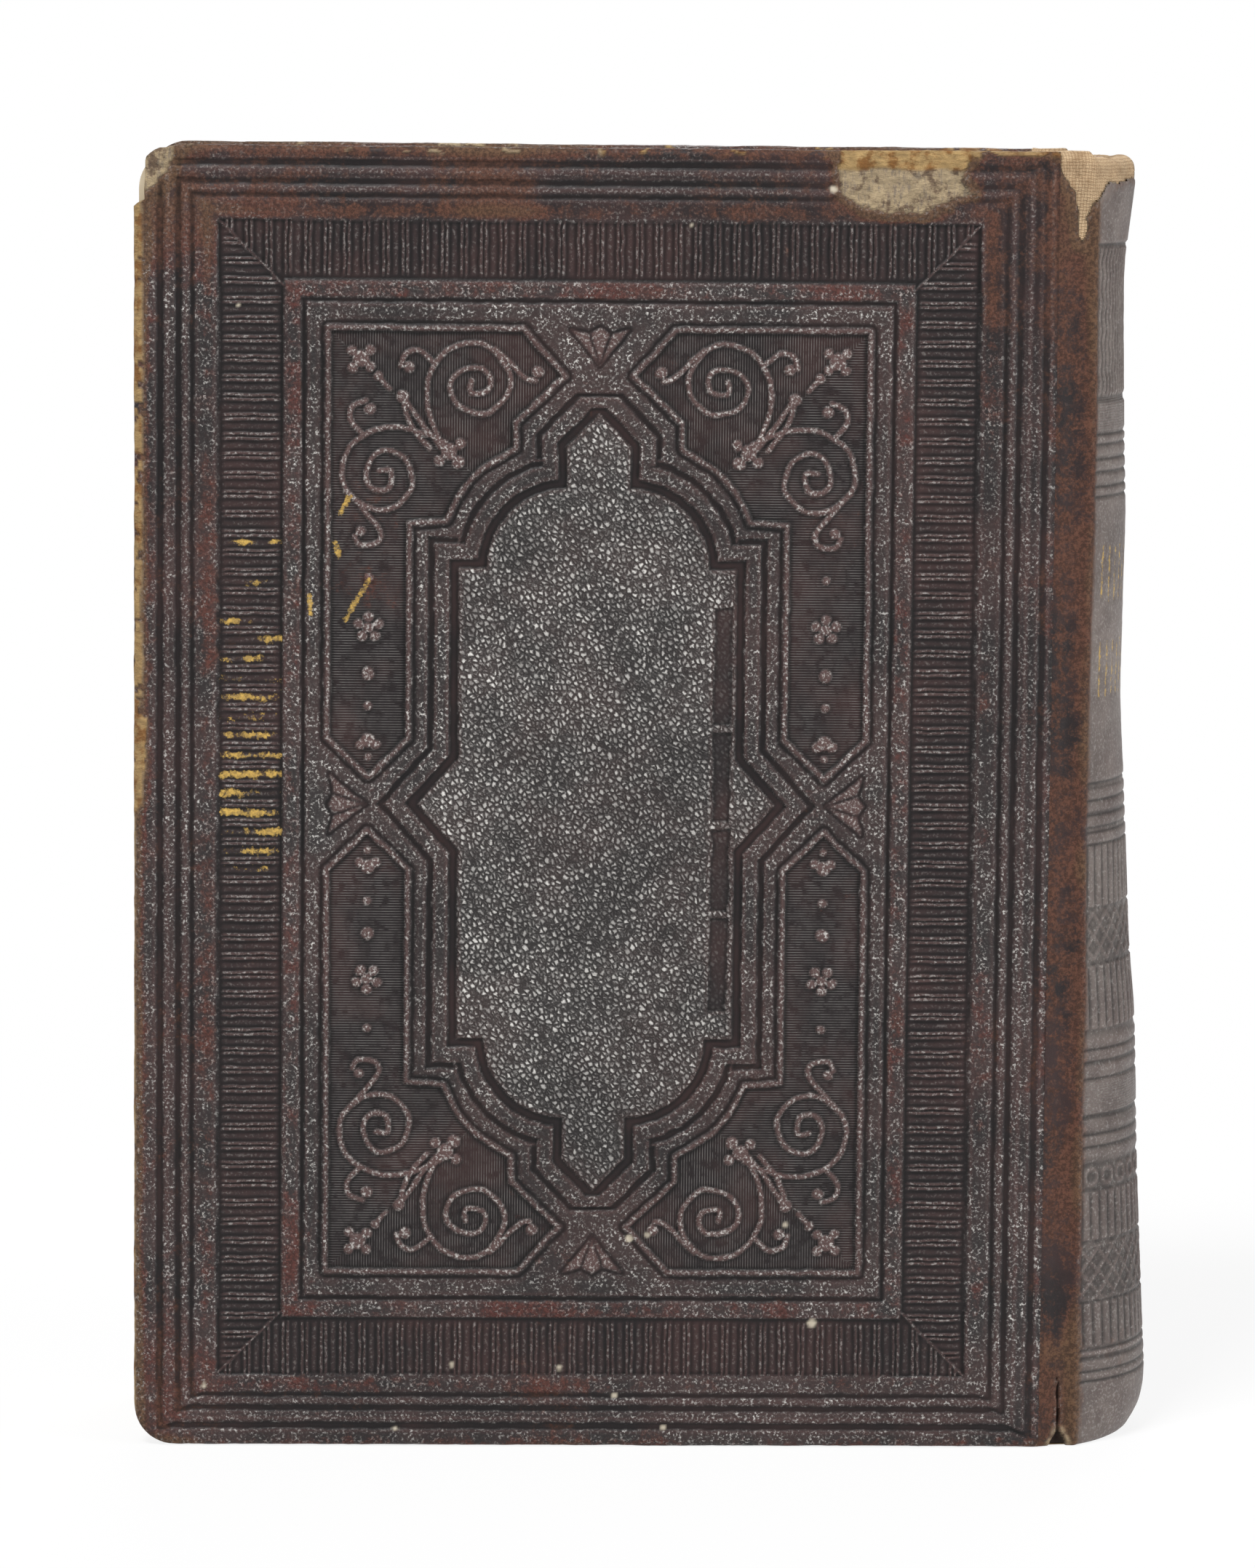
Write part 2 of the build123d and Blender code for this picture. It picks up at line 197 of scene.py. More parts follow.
def signed_distance(path: Sequence[Point], x: Array, y: Array) -> Array:
    """Distance to a closed outline, negative inside it."""
    closed = list(path) + [path[0]]
    return np.where(inside_path(path, x, y), -1.0, 1.0) * distance_to_path(closed, x, y)


def smooth_path(points: Sequence[Point], steps: int = 6) -> Path:
    """Catmull-Rom curve through the points, as a line of short runs.

    Args:
        points: Points that the curve passes through.
        steps: Runs between two points.

    Returns:
        Points along the curve.
    """
    knots = np.array([points[0], *points, points[-1]], float)
    share = np.linspace(0, 1, steps, endpoint=False)[:, None]
    runs = []
    for before, start, end, after in zip(knots, knots[1:], knots[2:], knots[3:]):
        slope, bend = end - before, 2 * before - 5 * start + 4 * end - after
        twist = 3 * (start - end) + after - before
        runs.append(start + 0.5 * (slope * share + bend * share**2 + twist * share**3))
    return [tuple(point) for point in np.vstack([*runs, knots[-1:]])]


def arc_path(centre: tuple[float, float], radius: float, start: float, end: float) -> Path:
    """Nine points along an arc, with its angles in degrees."""
    angles = np.radians(np.linspace(start, end, 9))
    return [(centre[0] + radius * math.cos(a), centre[1] + radius * math.sin(a)) for a in angles]


def parallel_path(path: Sequence[Point], distance: float) -> Path:
    """Open line moved sideways with mitred corners; positive moves it to the left of its direction.

    Each corner goes to the crossing of its two moved runs: c + d (n1 + n2) / (1 + n1.n2).
    """
    points = np.array(path, float)
    runs = np.diff(points, axis=0)
    normals = np.stack([-runs[:, 1], runs[:, 0]], 1) / np.linalg.norm(runs, axis=1)[:, None]
    before, after = np.vstack([normals[:1], normals]), np.vstack([normals, normals[-1:]])
    mitre = (before + after) / (1 + np.sum(before * after, 1))[:, None]
    return [tuple(point) for point in points + distance * mitre]


def averaged(values: Array, rows: float, columns: float, reach: float) -> Array:
    """Mean over a square window of half-width reach, for a grid with the given row and column steps.

    It is a running mean along one axis and then the other, with the border values repeated outside.
    """
    for axis, step in ((0, rows), (1, columns)):
        cells = max(1, int(round(reach / step)))
        pad = [(cells + 1, cells) if way == axis else (0, 0) for way in (0, 1)]
        total = np.cumsum(np.pad(values, pad, mode="edge"), axis=axis)
        size = values.shape[axis]
        values = (np.take(total, range(2 * cells + 1, 2 * cells + 1 + size), axis)
                  - np.take(total, range(size), axis)) / (2 * cells + 1)
    return values


def hollows_and_ridges(height: Array, rows: float, columns: float) -> tuple[Array, Array]:
    """How far each point lies below and above the mean height round it, from 0 to 1 at the full relief."""
    reach, full_relief = 0.55, 0.13
    above = (height - averaged(height, rows, columns, reach)) / full_relief
    return np.clip(-above, 0, 1), np.clip(above, 0, 1)


# ---- meshes ----
@dataclass
class Surface:
    """Points, faces and point attributes of a surface, before it becomes a mesh."""

    points: Array
    quads: Array
    fields: Fields = field(default_factory=dict)

    def without(self, lost: Array) -> "Surface":
        """This surface less the faces that have a lost point, and the points that nothing uses."""
        quads = self.quads[~lost[self.quads].any(axis=1)]
        used = np.unique(quads)
        place = np.zeros(len(self.points), int)
        place[used] = np.arange(len(used))
        return Surface(self.points[used], place[quads], {k: v[used] for k, v in self.fields.items()})


def grid_quads(rows: int, columns: int, flip: bool = False) -> Array:
    """Faces of a grid of points stored row by row.

    Args:
        rows: Number of rows.
        columns: Points in a row.
        flip: Turns the faces round.

    Returns:
        Four point numbers for each face.
    """
    row, column = np.meshgrid(np.arange(rows - 1), np.arange(columns - 1), indexing="ij")
    low, high = row * columns + column, (row + 1) * columns + column
    quads = np.stack([low, low + 1, high + 1, high], -1).reshape(-1, 4)
    return quads[:, ::-1] if flip else quads


def make_piece(name: str, surface: Surface, material: bpy.types.Material) -> bpy.types.Object:
    """Put a surface into a mesh object at the origin, in metres.

    Args:
        name: Name of the piece.
        surface: Points in millimetres, with faces and fields.
        material: Its finish.

    Returns:
        The new object.
    """
    mesh = bpy.data.meshes.new(name)
    quads = np.ascontiguousarray(surface.quads, dtype=np.int32)
    mesh.vertices.add(len(surface.points))
    mesh.vertices.foreach_set("co", (surface.points * MM).astype(np.float32).ravel())
    mesh.loops.add(quads.size)
    mesh.loops.foreach_set("vertex_index", quads.ravel())
    mesh.polygons.add(len(quads))
    mesh.polygons.foreach_set("loop_start", np.arange(0, quads.size, 4, dtype=np.int32))
    mesh.update(calc_edges=True)
    mesh.polygons.foreach_set("use_smooth", np.ones(len(quads), bool))
    for key, values in surface.fields.items():
        layer = mesh.attributes.new(key, "FLOAT", "POINT")
        layer.data.foreach_set("value", np.ascontiguousarray(values, dtype=np.float32).ravel())
    mesh.validate()
    mesh.materials.append(material)
    piece = bpy.data.objects.new(name, mesh)
    bpy.context.scene.collection.objects.link(piece)
    log.info("%s: %d faces", name, len(quads))
    return piece


# ---- shader nodes ----
class Sheet:
    """Writes nodes into one node tree; sockets are passed as values, numbers or colours."""

    def __init__(self, tree: bpy.types.NodeTree) -> None:
        """Keep the tree that the nodes go into."""
        self.tree = tree

    def node(self, kind: str, inputs: dict | None = None, **settings) -> bpy.types.Node:
        """Add a node, set its options, and set or link its inputs.

        Args:
            kind: Node type without its ShaderNode prefix.
            inputs: Values or sockets by input name or number.
            **settings: Options of the node.

        Returns:
            The node.
        """
        node = self.tree.nodes.new(kind if kind.startswith("Node") else "ShaderNode" + kind)
        for key, value in settings.items():
            setattr(node, key, value)
        for key, value in (inputs or {}).items():
            self.feed(node.inputs[key], value)
        return node

    def feed(self, socket: bpy.types.NodeSocket, value) -> None:
        """Link a socket to another, or give it a value."""
        if isinstance(value, bpy.types.NodeSocket):
            self.tree.links.new(value, socket)
        elif isinstance(value, tuple) and len(value) == 3 and socket.type == "RGBA":
            socket.default_value = (*value, 1.0)
        else:
            socket.default_value = value

    def math(self, operation: str, first, second=0.0) -> bpy.types.NodeSocket:
        """Result of a Math node on one or two values."""
        return self.node("Math", {0: first, 1: second}, operation=operation).outputs[0]

    def times(self, first, second) -> bpy.types.NodeSocket:
        """Product of two numbers."""
        return self.math("MULTIPLY", first, second)

    def plus(self, first, second) -> bpy.types.NodeSocket:
        """Sum of two numbers."""
        return self.math("ADD", first, second)

    def minus(self, first, second) -> bpy.types.NodeSocket:
        """First number less the second."""
        return self.math("SUBTRACT", first, second)

    def larger(self, first, second) -> bpy.types.NodeSocket:
        """Larger of two numbers."""
        return self.math("MAXIMUM", first, second)

    def steps(self, value, low: float, high: float) -> bpy.types.NodeSocket:
        """Smooth step of a value between two limits."""
        inputs = {"Value": value, "From Min": low, "From Max": high}
        return self.node("MapRange", inputs, interpolation_type="SMOOTHSTEP").outputs[0]

    def mix(self, share, first, second) -> bpy.types.NodeSocket:
        """Colour mixed from two by a share."""
        node = self.node("Mix", data_type="RGBA")
        self.feed(node.inputs[0], share)
        self.feed(node.inputs[6], first)
        self.feed(node.inputs[7], second)
        return node.outputs[2]

    def blend(self, share, first, second) -> bpy.types.NodeSocket:
        """Number mixed from two by a share."""
        node = self.node("Mix", data_type="FLOAT")
        for place, value in ((0, share), (2, first), (3, second)):
            self.feed(node.inputs[place], value)
        return node.outputs[0]

    def tint(self, colour, factor) -> bpy.types.NodeSocket:
        """Colour multiplied by a number."""
        node = self.node("VectorMath", operation="SCALE")
        self.feed(node.inputs[0], colour)
        self.feed(node.inputs["Scale"], factor)
        return node.outputs[0]

    def place(self) -> bpy.types.NodeSocket:
        """Object coordinates, in metres."""
        return self.node("TexCoord").outputs["Object"]

    def field(self, name: str) -> bpy.types.NodeSocket:
        """Value of a point attribute."""
        return self.node("Attribute", attribute_name=name).outputs["Fac"]

    def stretched(self, vector, scale: tuple[float, float, float]) -> bpy.types.NodeSocket:
        """Coordinates scaled along the three axes."""
        return self.node("Mapping", {"Vector": vector, "Scale": scale}).outputs[0]

    def noise(self, vector, scale: float, detail: float = 3.0,
              roughness: float = 0.55) -> bpy.types.NodeSocket:
        """Noise from 0 to 1."""
        inputs = {"Vector": vector, "Scale": scale, "Detail": detail, "Roughness": roughness}
        return self.node("TexNoise", inputs).outputs["Fac"]

    def bumped(self, height, strength: float, distance: float, normal=None) -> bpy.types.NodeSocket:
        """Normal bent by a height, from the plain one or from another bent normal."""
        inputs = {"Height": height, "Strength": strength, "Distance": distance}
        if normal is not None:
            inputs["Normal"] = normal
        return self.node("Bump", inputs).outputs[0]

    def use(self, group: bpy.types.NodeTree, inputs: dict) -> bpy.types.Node:
        """Place a node group and feed its named inputs."""
        return self.node("Group", inputs, node_tree=group)


class Effect:
    """A shader node group shared by several finishes, built once."""

    built: dict[str, bpy.types.NodeTree] = {}

    @classmethod
    def group(cls, name: str, inputs: dict[str, float | None], outputs: Sequence[str],
              write: Callable[[Sheet, dict], dict]) -> bpy.types.NodeTree:
        """Build a group, or give the one that is already there.

        Args:
            name: Name of the group.
            inputs: Default of each number input; None makes a vector input.
            outputs: Names of its outputs, all numbers.
            write: Takes the sheet and the input sockets, and gives the output sockets.

        Returns:
            The node group.
        """
        if name in cls.built:
            return cls.built[name]
        tree = bpy.data.node_groups.new(name, "ShaderNodeTree")
        for key, default in inputs.items():
            kind = "NodeSocketVector" if default is None else "NodeSocketFloat"
            socket = tree.interface.new_socket(key, in_out="INPUT", socket_type=kind)
            if default is not None:
                socket.default_value = default
        for key in outputs:
            tree.interface.new_socket(key, in_out="OUTPUT", socket_type="NodeSocketFloat")
        sheet = Sheet(tree)
        entry, leave = sheet.node("NodeGroupInput"), sheet.node("NodeGroupOutput")
        results = write(sheet, {key: entry.outputs[key] for key in inputs})
        for key in outputs:
            sheet.feed(leave.inputs[key], results[key])
        cls.built[name] = tree
        return tree


def grain_effect() -> bpy.types.NodeTree:
    """Leather grain: rounded pebbles in rows that climb towards the spine.

    The coordinates are turned to the rows and squeezed across them, so that the cells are taller than wide.
    Height is a pebble's dome, the second output a painted highlight on its top, broken up and of its own
    strength, and the third the line round it, which the leather darkens as painted shade.
    """
    def write(sheet: Sheet, given: dict) -> dict:
        turned = sheet.node("Mapping", {"Vector": given["Vector"], "Rotation": (0.0, 0.62, 0.0)}).outputs[0]
        rows = sheet.stretched(turned, (1.15, 1.0, 0.88))
        wander = sheet.node("TexNoise", {"Vector": rows, "Scale": 1300.0, "Detail": 2.0}).outputs["Color"]
        shift = sheet.node("VectorMath", {0: wander, 1: (0.5, 0.5, 0.5)}, operation="SUBTRACT").outputs[0]
        bent = sheet.node("VectorMath", {0: rows, 1: sheet.tint(shift, 0.0005)}, operation="ADD").outputs[0]
        cells = {"Vector": bent, "Scale": given["Density"], "Randomness": 0.82}
        middle = sheet.node("TexVoronoi", cells, feature="F1").outputs
        edge = sheet.node("TexVoronoi", cells, feature="DISTANCE_TO_EDGE").outputs["Distance"]
        own = sheet.node("SeparateColor", {"Color": middle["Color"]}).outputs[0]
        fine = sheet.noise(turned, 3600.0, 3.0, 0.7)
        broken = sheet.plus(edge, sheet.times(sheet.minus(fine, 0.5), 0.55))
        spot = sheet.steps(broken, 0.14, 0.36)
        height = sheet.minus(sheet.steps(edge, 0.0, 0.3), sheet.times(middle["Distance"], 0.5))
        return {"Height": sheet.plus(height, sheet.times(fine, 0.3)),
                "Crest": sheet.times(spot, sheet.blend(own, 0.4, 1.15)),
                "Crease": sheet.minus(1.0, sheet.steps(edge, 0.02, 0.14))}

    return Effect.group("pebble_grain", {"Vector": None, "Density": 1290.0},
                        ("Height", "Crest", "Crease"), write)


def hatch_effect() -> bpy.types.NodeTree:
    """Fine parallel tool lines: Height is 1 on a line; Along is the coordinate that crosses the lines."""
    def write(sheet: Sheet, given: dict) -> dict:
        turns = sheet.math("DIVIDE", given["Along"], given["Pitch"])
        share = sheet.math("PINGPONG", turns, 0.5)
        line = sheet.steps(share, 0.32, 0.46)
        broken = sheet.noise(given["Vector"], 700.0, 2.0)
        return {"Height": sheet.times(line, sheet.steps(broken, 0.3, 0.55))}

    inputs = {"Vector": None, "Along": 0.0, "Pitch": 0.00038}
    return Effect.group("fine_hatch", inputs, ("Height",), write)


def wear_effect() -> bpy.types.NodeTree:
    """Mottled rubbing: Patch is 1 where the skin has lost its dark face, as Amount asks; Speck, finer, places
    painted glints.
    """
    def write(sheet: Sheet, given: dict) -> dict:
        broad = sheet.noise(given["Vector"], given["Size"], 3.0, 0.55)
        middling = sheet.noise(given["Vector"], 520.0, 4.0, 0.65)
        fine = sheet.noise(given["Vector"], 2300.0, 3.0, 0.65)
        mixed = sheet.plus(sheet.times(broad, 0.34), sheet.times(middling, 0.4))
        mixed = sheet.plus(mixed, sheet.times(fine, 0.26))
        level = sheet.plus(mixed, sheet.times(sheet.minus(given["Amount"], 0.5), 0.42))
        return {"Patch": sheet.steps(level, 0.47, 0.6), "Speck": sheet.steps(fine, 0.5, 0.66)}

    inputs = {"Vector": None, "Amount": 0.5, "Size": 90.0}
    return Effect.group("rubbed_wear", inputs, ("Patch", "Speck"), write)


def weave_effect() -> bpy.types.NodeTree:
    """Plain weave of uneven threads: Height of the cloth, and the colour share of each thread, lower where
    the weave sinks, as painted shade.

    Across and Up are the two coordinates on the cloth; each thread is a rounded rib, and over-and-under
    follows the sign of the product of the two waves at half the frequency.
    """
    def write(sheet: Sheet, given: dict) -> dict:
        sway = sheet.times(sheet.noise(given["Vector"], 350.0, 2.0), 0.0004)
        waves = []
        for key in ("Across", "Up"):
            turns = sheet.math("DIVIDE", sheet.plus(given[key], sway), given["Pitch"])
            waves.append((sheet.math("ABSOLUTE", sheet.math("SINE", sheet.times(turns, math.pi))),
                          sheet.math("SINE", sheet.times(turns, math.pi))))
        over = sheet.steps(sheet.times(waves[0][1], waves[1][1]), -0.4, 0.4)
        height = sheet.blend(over, waves[0][0], waves[1][0])
        uneven = sheet.noise(given["Vector"], 2200.0, 3.0)
        # Thread tone: darker where the weave sinks, as painted shade, and uneven from thread to thread.
        tone = sheet.plus(sheet.times(height, 0.6), sheet.times(uneven, 0.5))
        return {"Height": height, "Tone": tone}

    inputs = {"Vector": None, "Across": 0.0, "Up": 0.0, "Pitch": 0.00042}
    return Effect.group("plain_weave", inputs, ("Height", "Tone"), write)


def ageing_effect() -> bpy.types.NodeTree:
    """Old paper: Foxing spots and broad Toning."""
    def write(sheet: Sheet, given: dict) -> dict:
        spots = sheet.steps(sheet.noise(given["Vector"], 140.0, 4.0, 0.6), 0.62, 0.75)
        toning = sheet.noise(given["Vector"], 18.0, 4.0, 0.55)
        return {"Foxing": sheet.times(spots, given["Spots"]), "Toning": toning}

    return Effect.group("paper_ageing", {"Vector": None, "Spots": 0.5}, ("Foxing", "Toning"), write)


# ---- finishes ----
@dataclass(frozen=True)
class Finish:
    """A procedural surface finish; its subclasses write the nodes."""

    name: str

    def material(self) -> bpy.types.Material:
        """The finish as a material, built the first time that it is asked for."""
        known = bpy.data.materials.get(self.name)
        if known is not None:
            return known
        made = bpy.data.materials.new(self.name)
        made.use_nodes = True
        made.node_tree.nodes.clear()
        sheet = Sheet(made.node_tree)
        shader = sheet.node("BsdfPrincipled")
        sheet.node("OutputMaterial", {"Surface": shader.outputs["BSDF"]})
        self.write(sheet, shader)
        return made

    def write(self, sheet: Sheet, shader: bpy.types.Node) -> None:
        """Write the nodes that feed the shader."""
        raise NotImplementedError


@dataclass(frozen=True)
class StampedLeather(Finish):
    """Dark grained leather: pebbled, pressed smooth in places, hatched by the tool, rubbed brown and torn,
    with painted glints, sheen and highlights, and painted shade in its hollows and creases.

    The colours follow the point attributes of the piece. Each runs from 0 to 1, and one that a piece lacks
    is 0: wear (how much is rubbed), bare (leather lost), layer (board's own face in a loss), press (smooth
    and dark), line (raised tool line, given a painted highlight), coarse (open pebbled field), hatch_u and
    hatch_v (fine tool lines, given painted highlights), hollow (recesses of the relief, darkened as painted
    shade) and ridge (raised relief, given a painted highlight and a reddish-brown tint), gilt (gold left),
    fleck (whitish spot) and dust (grey dust, and on the spine a painted sheen).
    """

    dark: Colour = srgb(32, 26, 27)
    brown: Colour = srgb(52, 36, 35)
    # Colour of the painted glints, sheen and highlights.
    pale: Colour = srgb(216, 213, 208)
    bead: Colour = srgb(99, 64, 60)
    rubbed: Colour = srgb(96, 51, 44)
    tanned: Colour = srgb(106, 78, 56)
    torn: Colour = srgb(188, 156, 106)
    fibre: Colour = srgb(188, 167, 134)
    slate: Colour = srgb(132, 120, 110)
    glue: Colour = srgb(146, 102, 56)
    dirt: Colour = srgb(96, 74, 62)
    gold: Colour = srgb(200, 164, 84)
    # Grey of the dust, which on the spine is also a painted sheen.
    film: Colour = srgb(132, 122, 116)
    speck: Colour = srgb(196, 186, 166)
    roughness: float = 0.5

    def write(self, sheet: Sheet, shader: bpy.types.Node) -> None:
        """Grain, tool lines, rubbing, gilding and tears, one over the other."""
        place = sheet.place()
        wear, bare, press, line = (sheet.field(name) for name in ("wear", "bare", "press", "line"))
        hatch_u, hatch_v, coarse = (sheet.field(name) for name in ("hatch_u", "hatch_v", "coarse"))
        axes = sheet.node("SeparateXYZ", {"Vector": place}).outputs
        grain = sheet.use(grain_effect(), {"Vector": place}).outputs
        worn = sheet.use(wear_effect(), {"Vector": place, "Amount": wear}).outputs
        lines = {}
        for key, along in (("u", axes[0]), ("v", axes[2])):
            lines[key] = sheet.use(hatch_effect(), {"Vector": place, "Along": along}).outputs["Height"]
        tooled = sheet.plus(sheet.times(lines["u"], hatch_u),
                            sheet.times(lines["v"], hatch_v))
        pressed = sheet.larger(press, sheet.larger(hatch_u, hatch_v))
        grained = sheet.times(sheet.minus(1.0, pressed), sheet.minus(1.0, bare))
        pebbled = sheet.times(grained, sheet.blend(coarse, 0.25, 1.0))

        # Painted highlights: glints on the pebble tops and fine specks in the bands, over a faint painted
        # haze, all varied by a broad painted sheen.
        sheen = sheet.steps(sheet.noise(place, 30.0, 4.0, 0.6), 0.36, 0.64)
        mottle = sheet.steps(sheet.noise(place, 210.0, 5.0, 0.7), 0.36, 0.62)
        painted_sheen_level = sheet.times(sheet.blend(sheen, 0.65, 1.0), sheet.blend(mottle, 0.65, 1.0))
        cluster = sheet.steps(sheet.noise(place, 760.0, 3.0, 0.6), 0.4, 0.6)
        glint = sheet.times(worn["Speck"], sheet.blend(cluster, 0.05, 1.0))
        glint = sheet.times(glint, sheet.blend(coarse, 1.0, 0.45))
        crest_glint = sheet.times(grain["Crest"], sheet.times(coarse, 0.92))
        glint = sheet.larger(glint, crest_glint)
        painted_haze = sheet.blend(coarse, 0.03, 0.07)
        painted_highlight = sheet.times(sheet.times(sheet.plus(glint, painted_haze), grained), painted_sheen_level)
        # Painted highlights on the fine tool lines and on raised lines and ridges; rubbing dulls all the
        # painted highlights.
        tool_line_highlight = sheet.times(tooled, sheet.blend(mottle, 0.1, 0.24))
        ridge = sheet.larger(line, sheet.times(sheet.field("ridge"), 0.45))
        lit = sheet.times(ridge, sheet.blend(worn["Speck"], 0.05, 0.75))
        painted_highlight = sheet.larger(painted_highlight, sheet.larger(tool_line_highlight, lit))
        rubbing = sheet.times(worn["Patch"], 0.8)
        painted_highlight = sheet.times(painted_highlight, sheet.blend(rubbing, 1.0, 0.35))

        colour = sheet.mix(sheet.steps(sheet.noise(place, 60.0, 5.0, 0.6), 0.4, 0.65),
                           self.dark, self.brown)
        colour = sheet.mix(sheet.times(ridge, 0.6), colour, self.bead)
        flecked = sheet.steps(sheet.noise(place, 1900.0, 4.0, 0.75), 0.4, 0.62)
        browned = sheet.larger(sheet.steps(wear, 0.55, 0.9), sheet.times(press, 0.5))
        brown = sheet.mix(browned, self.rubbed, self.tanned)
        brown = sheet.tint(brown, sheet.blend(flecked, 0.42, 1.08))
        colour = sheet.mix(rubbing, colour, brown)
        # Grey over dusty places; on the spine, past the fold, it is also a painted sheen where the spine
        # turns to the side light.
        dust = sheet.times(sheet.field("dust"), sheet.blend(mottle, 0.6, 0.95))
        colour = sheet.mix(dust, colour, self.film)
        # The painted highlights laid over the colour.
        colour = sheet.mix(painted_highlight, colour, self.pale)
        # Painted shade in the creases round the pebbles.
        crease_shade = sheet.times(sheet.times(grain["Crease"], pebbled), 0.45)
        colour = sheet.tint(colour, sheet.minus(1.0, crease_shade))
        # Painted shade: hollows of the relief darkened, down to a fifth at the deepest.
        colour = sheet.tint(colour, sheet.blend(sheet.field("hollow"), 1.0, 0.2))
        patchy = sheet.plus(sheet.noise(place, 1100.0, 5.0, 0.75), sheet.times(sheet.field("gilt"), 0.42))
        gilding = sheet.times(sheet.steps(patchy, 0.72, 0.88), sheet.blend(flecked, 0.5, 1.0))
        colour = sheet.mix(gilding, colour, self.gold)
        colour = sheet.mix(sheet.field("fleck"), colour, self.speck)

        fibrous = sheet.noise(sheet.stretched(place, (0.6, 1.0, 1.6)), 900.0, 5.0, 0.75)
        blotched = sheet.noise(place, 420.0, 4.0, 0.65)
        hair = sheet.noise(sheet.stretched(place, (1.5, 1.0, 0.5)), 1200.0, 4.0, 0.7)
        inner = sheet.mix(sheet.steps(blotched, 0.44, 0.62), self.torn, self.glue)
        outer = sheet.mix(sheet.times(sheet.steps(hair, 0.48, 0.66), 0.7), self.fibre, self.slate)
        outer = sheet.mix(sheet.times(sheet.steps(blotched, 0.5, 0.62), 0.8), outer, self.dirt)
        flesh = sheet.mix(sheet.field("layer"), outer, inner)
        flesh = sheet.tint(flesh, sheet.blend(sheet.steps(fibrous, 0.3, 0.7), 0.62, 1.12))
        colour = sheet.mix(bare, colour, flesh)
        under = sheet.node("NewGeometry").outputs["Backfacing"]
        colour = sheet.mix(under, colour, sheet.tint(self.torn, sheet.blend(fibrous, 0.45, 0.75)))
        sheet.feed(shader.inputs["Base Color"], colour)

        rough_skin = sheet.blend(painted_highlight, self.roughness, self.roughness - 0.14)
        rough_skin = sheet.blend(sheet.larger(rubbing, bare), rough_skin, 0.85)
        sheet.feed(shader.inputs["Roughness"], rough_skin)
        shader.inputs["Specular IOR Level"].default_value = 0.3
        relief = sheet.plus(sheet.times(grain["Height"], pebbled),
                            sheet.times(sheet.noise(place, 5200.0, 2.0), 0.2))
        grained_skin = sheet.bumped(relief, 0.9, 0.00022)
        ridged = sheet.bumped(tooled, 0.8, 0.00012, grained_skin)
        shaggy = sheet.bumped(sheet.times(fibrous, bare), 1.0, 0.0009, ridged)
        sheet.feed(shader.inputs["Normal"], shaggy)


# ---- book frame ----
def box_mm(node: str) -> tuple[Array, Array]:
    """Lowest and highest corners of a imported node, in millimetres."""
    low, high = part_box(node)
    return np.array(low) / MM, np.array(high) / MM


@dataclass
class BookFrame:
    """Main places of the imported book, in millimetres, which every dressed piece is set out from."""

    joint_width: float = 5.5
    shoulder_drop: float = 1.4
    board_drop: float = 0.4
    corner_radius: float = 6.0

    def __post_init__(self) -> None:
        """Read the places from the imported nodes."""
        low, high = box_mm("front_cover_leather")
        self.fore_x, self.board_x = low[0], high[0]
        self.tail_z, self.head_z = low[2], high[2]
        self.face = high[1]
        self.fold_x = self.board_x + self.joint_width
        self.shoulder = self.face - self.shoulder_drop
        self.board_inside, self.board_face = box_mm("front_board")[0][1], box_mm("front_board")[1][1]
        self.paste_inside = box_mm("front_pastedown")[0][1]
        self.spine_x = box_mm("back_spine_leather")[1][0]
        self.middle_z = (self.tail_z + self.head_z) / 2
        self.panel_x = self.fore_x + COVER_HALF[0]


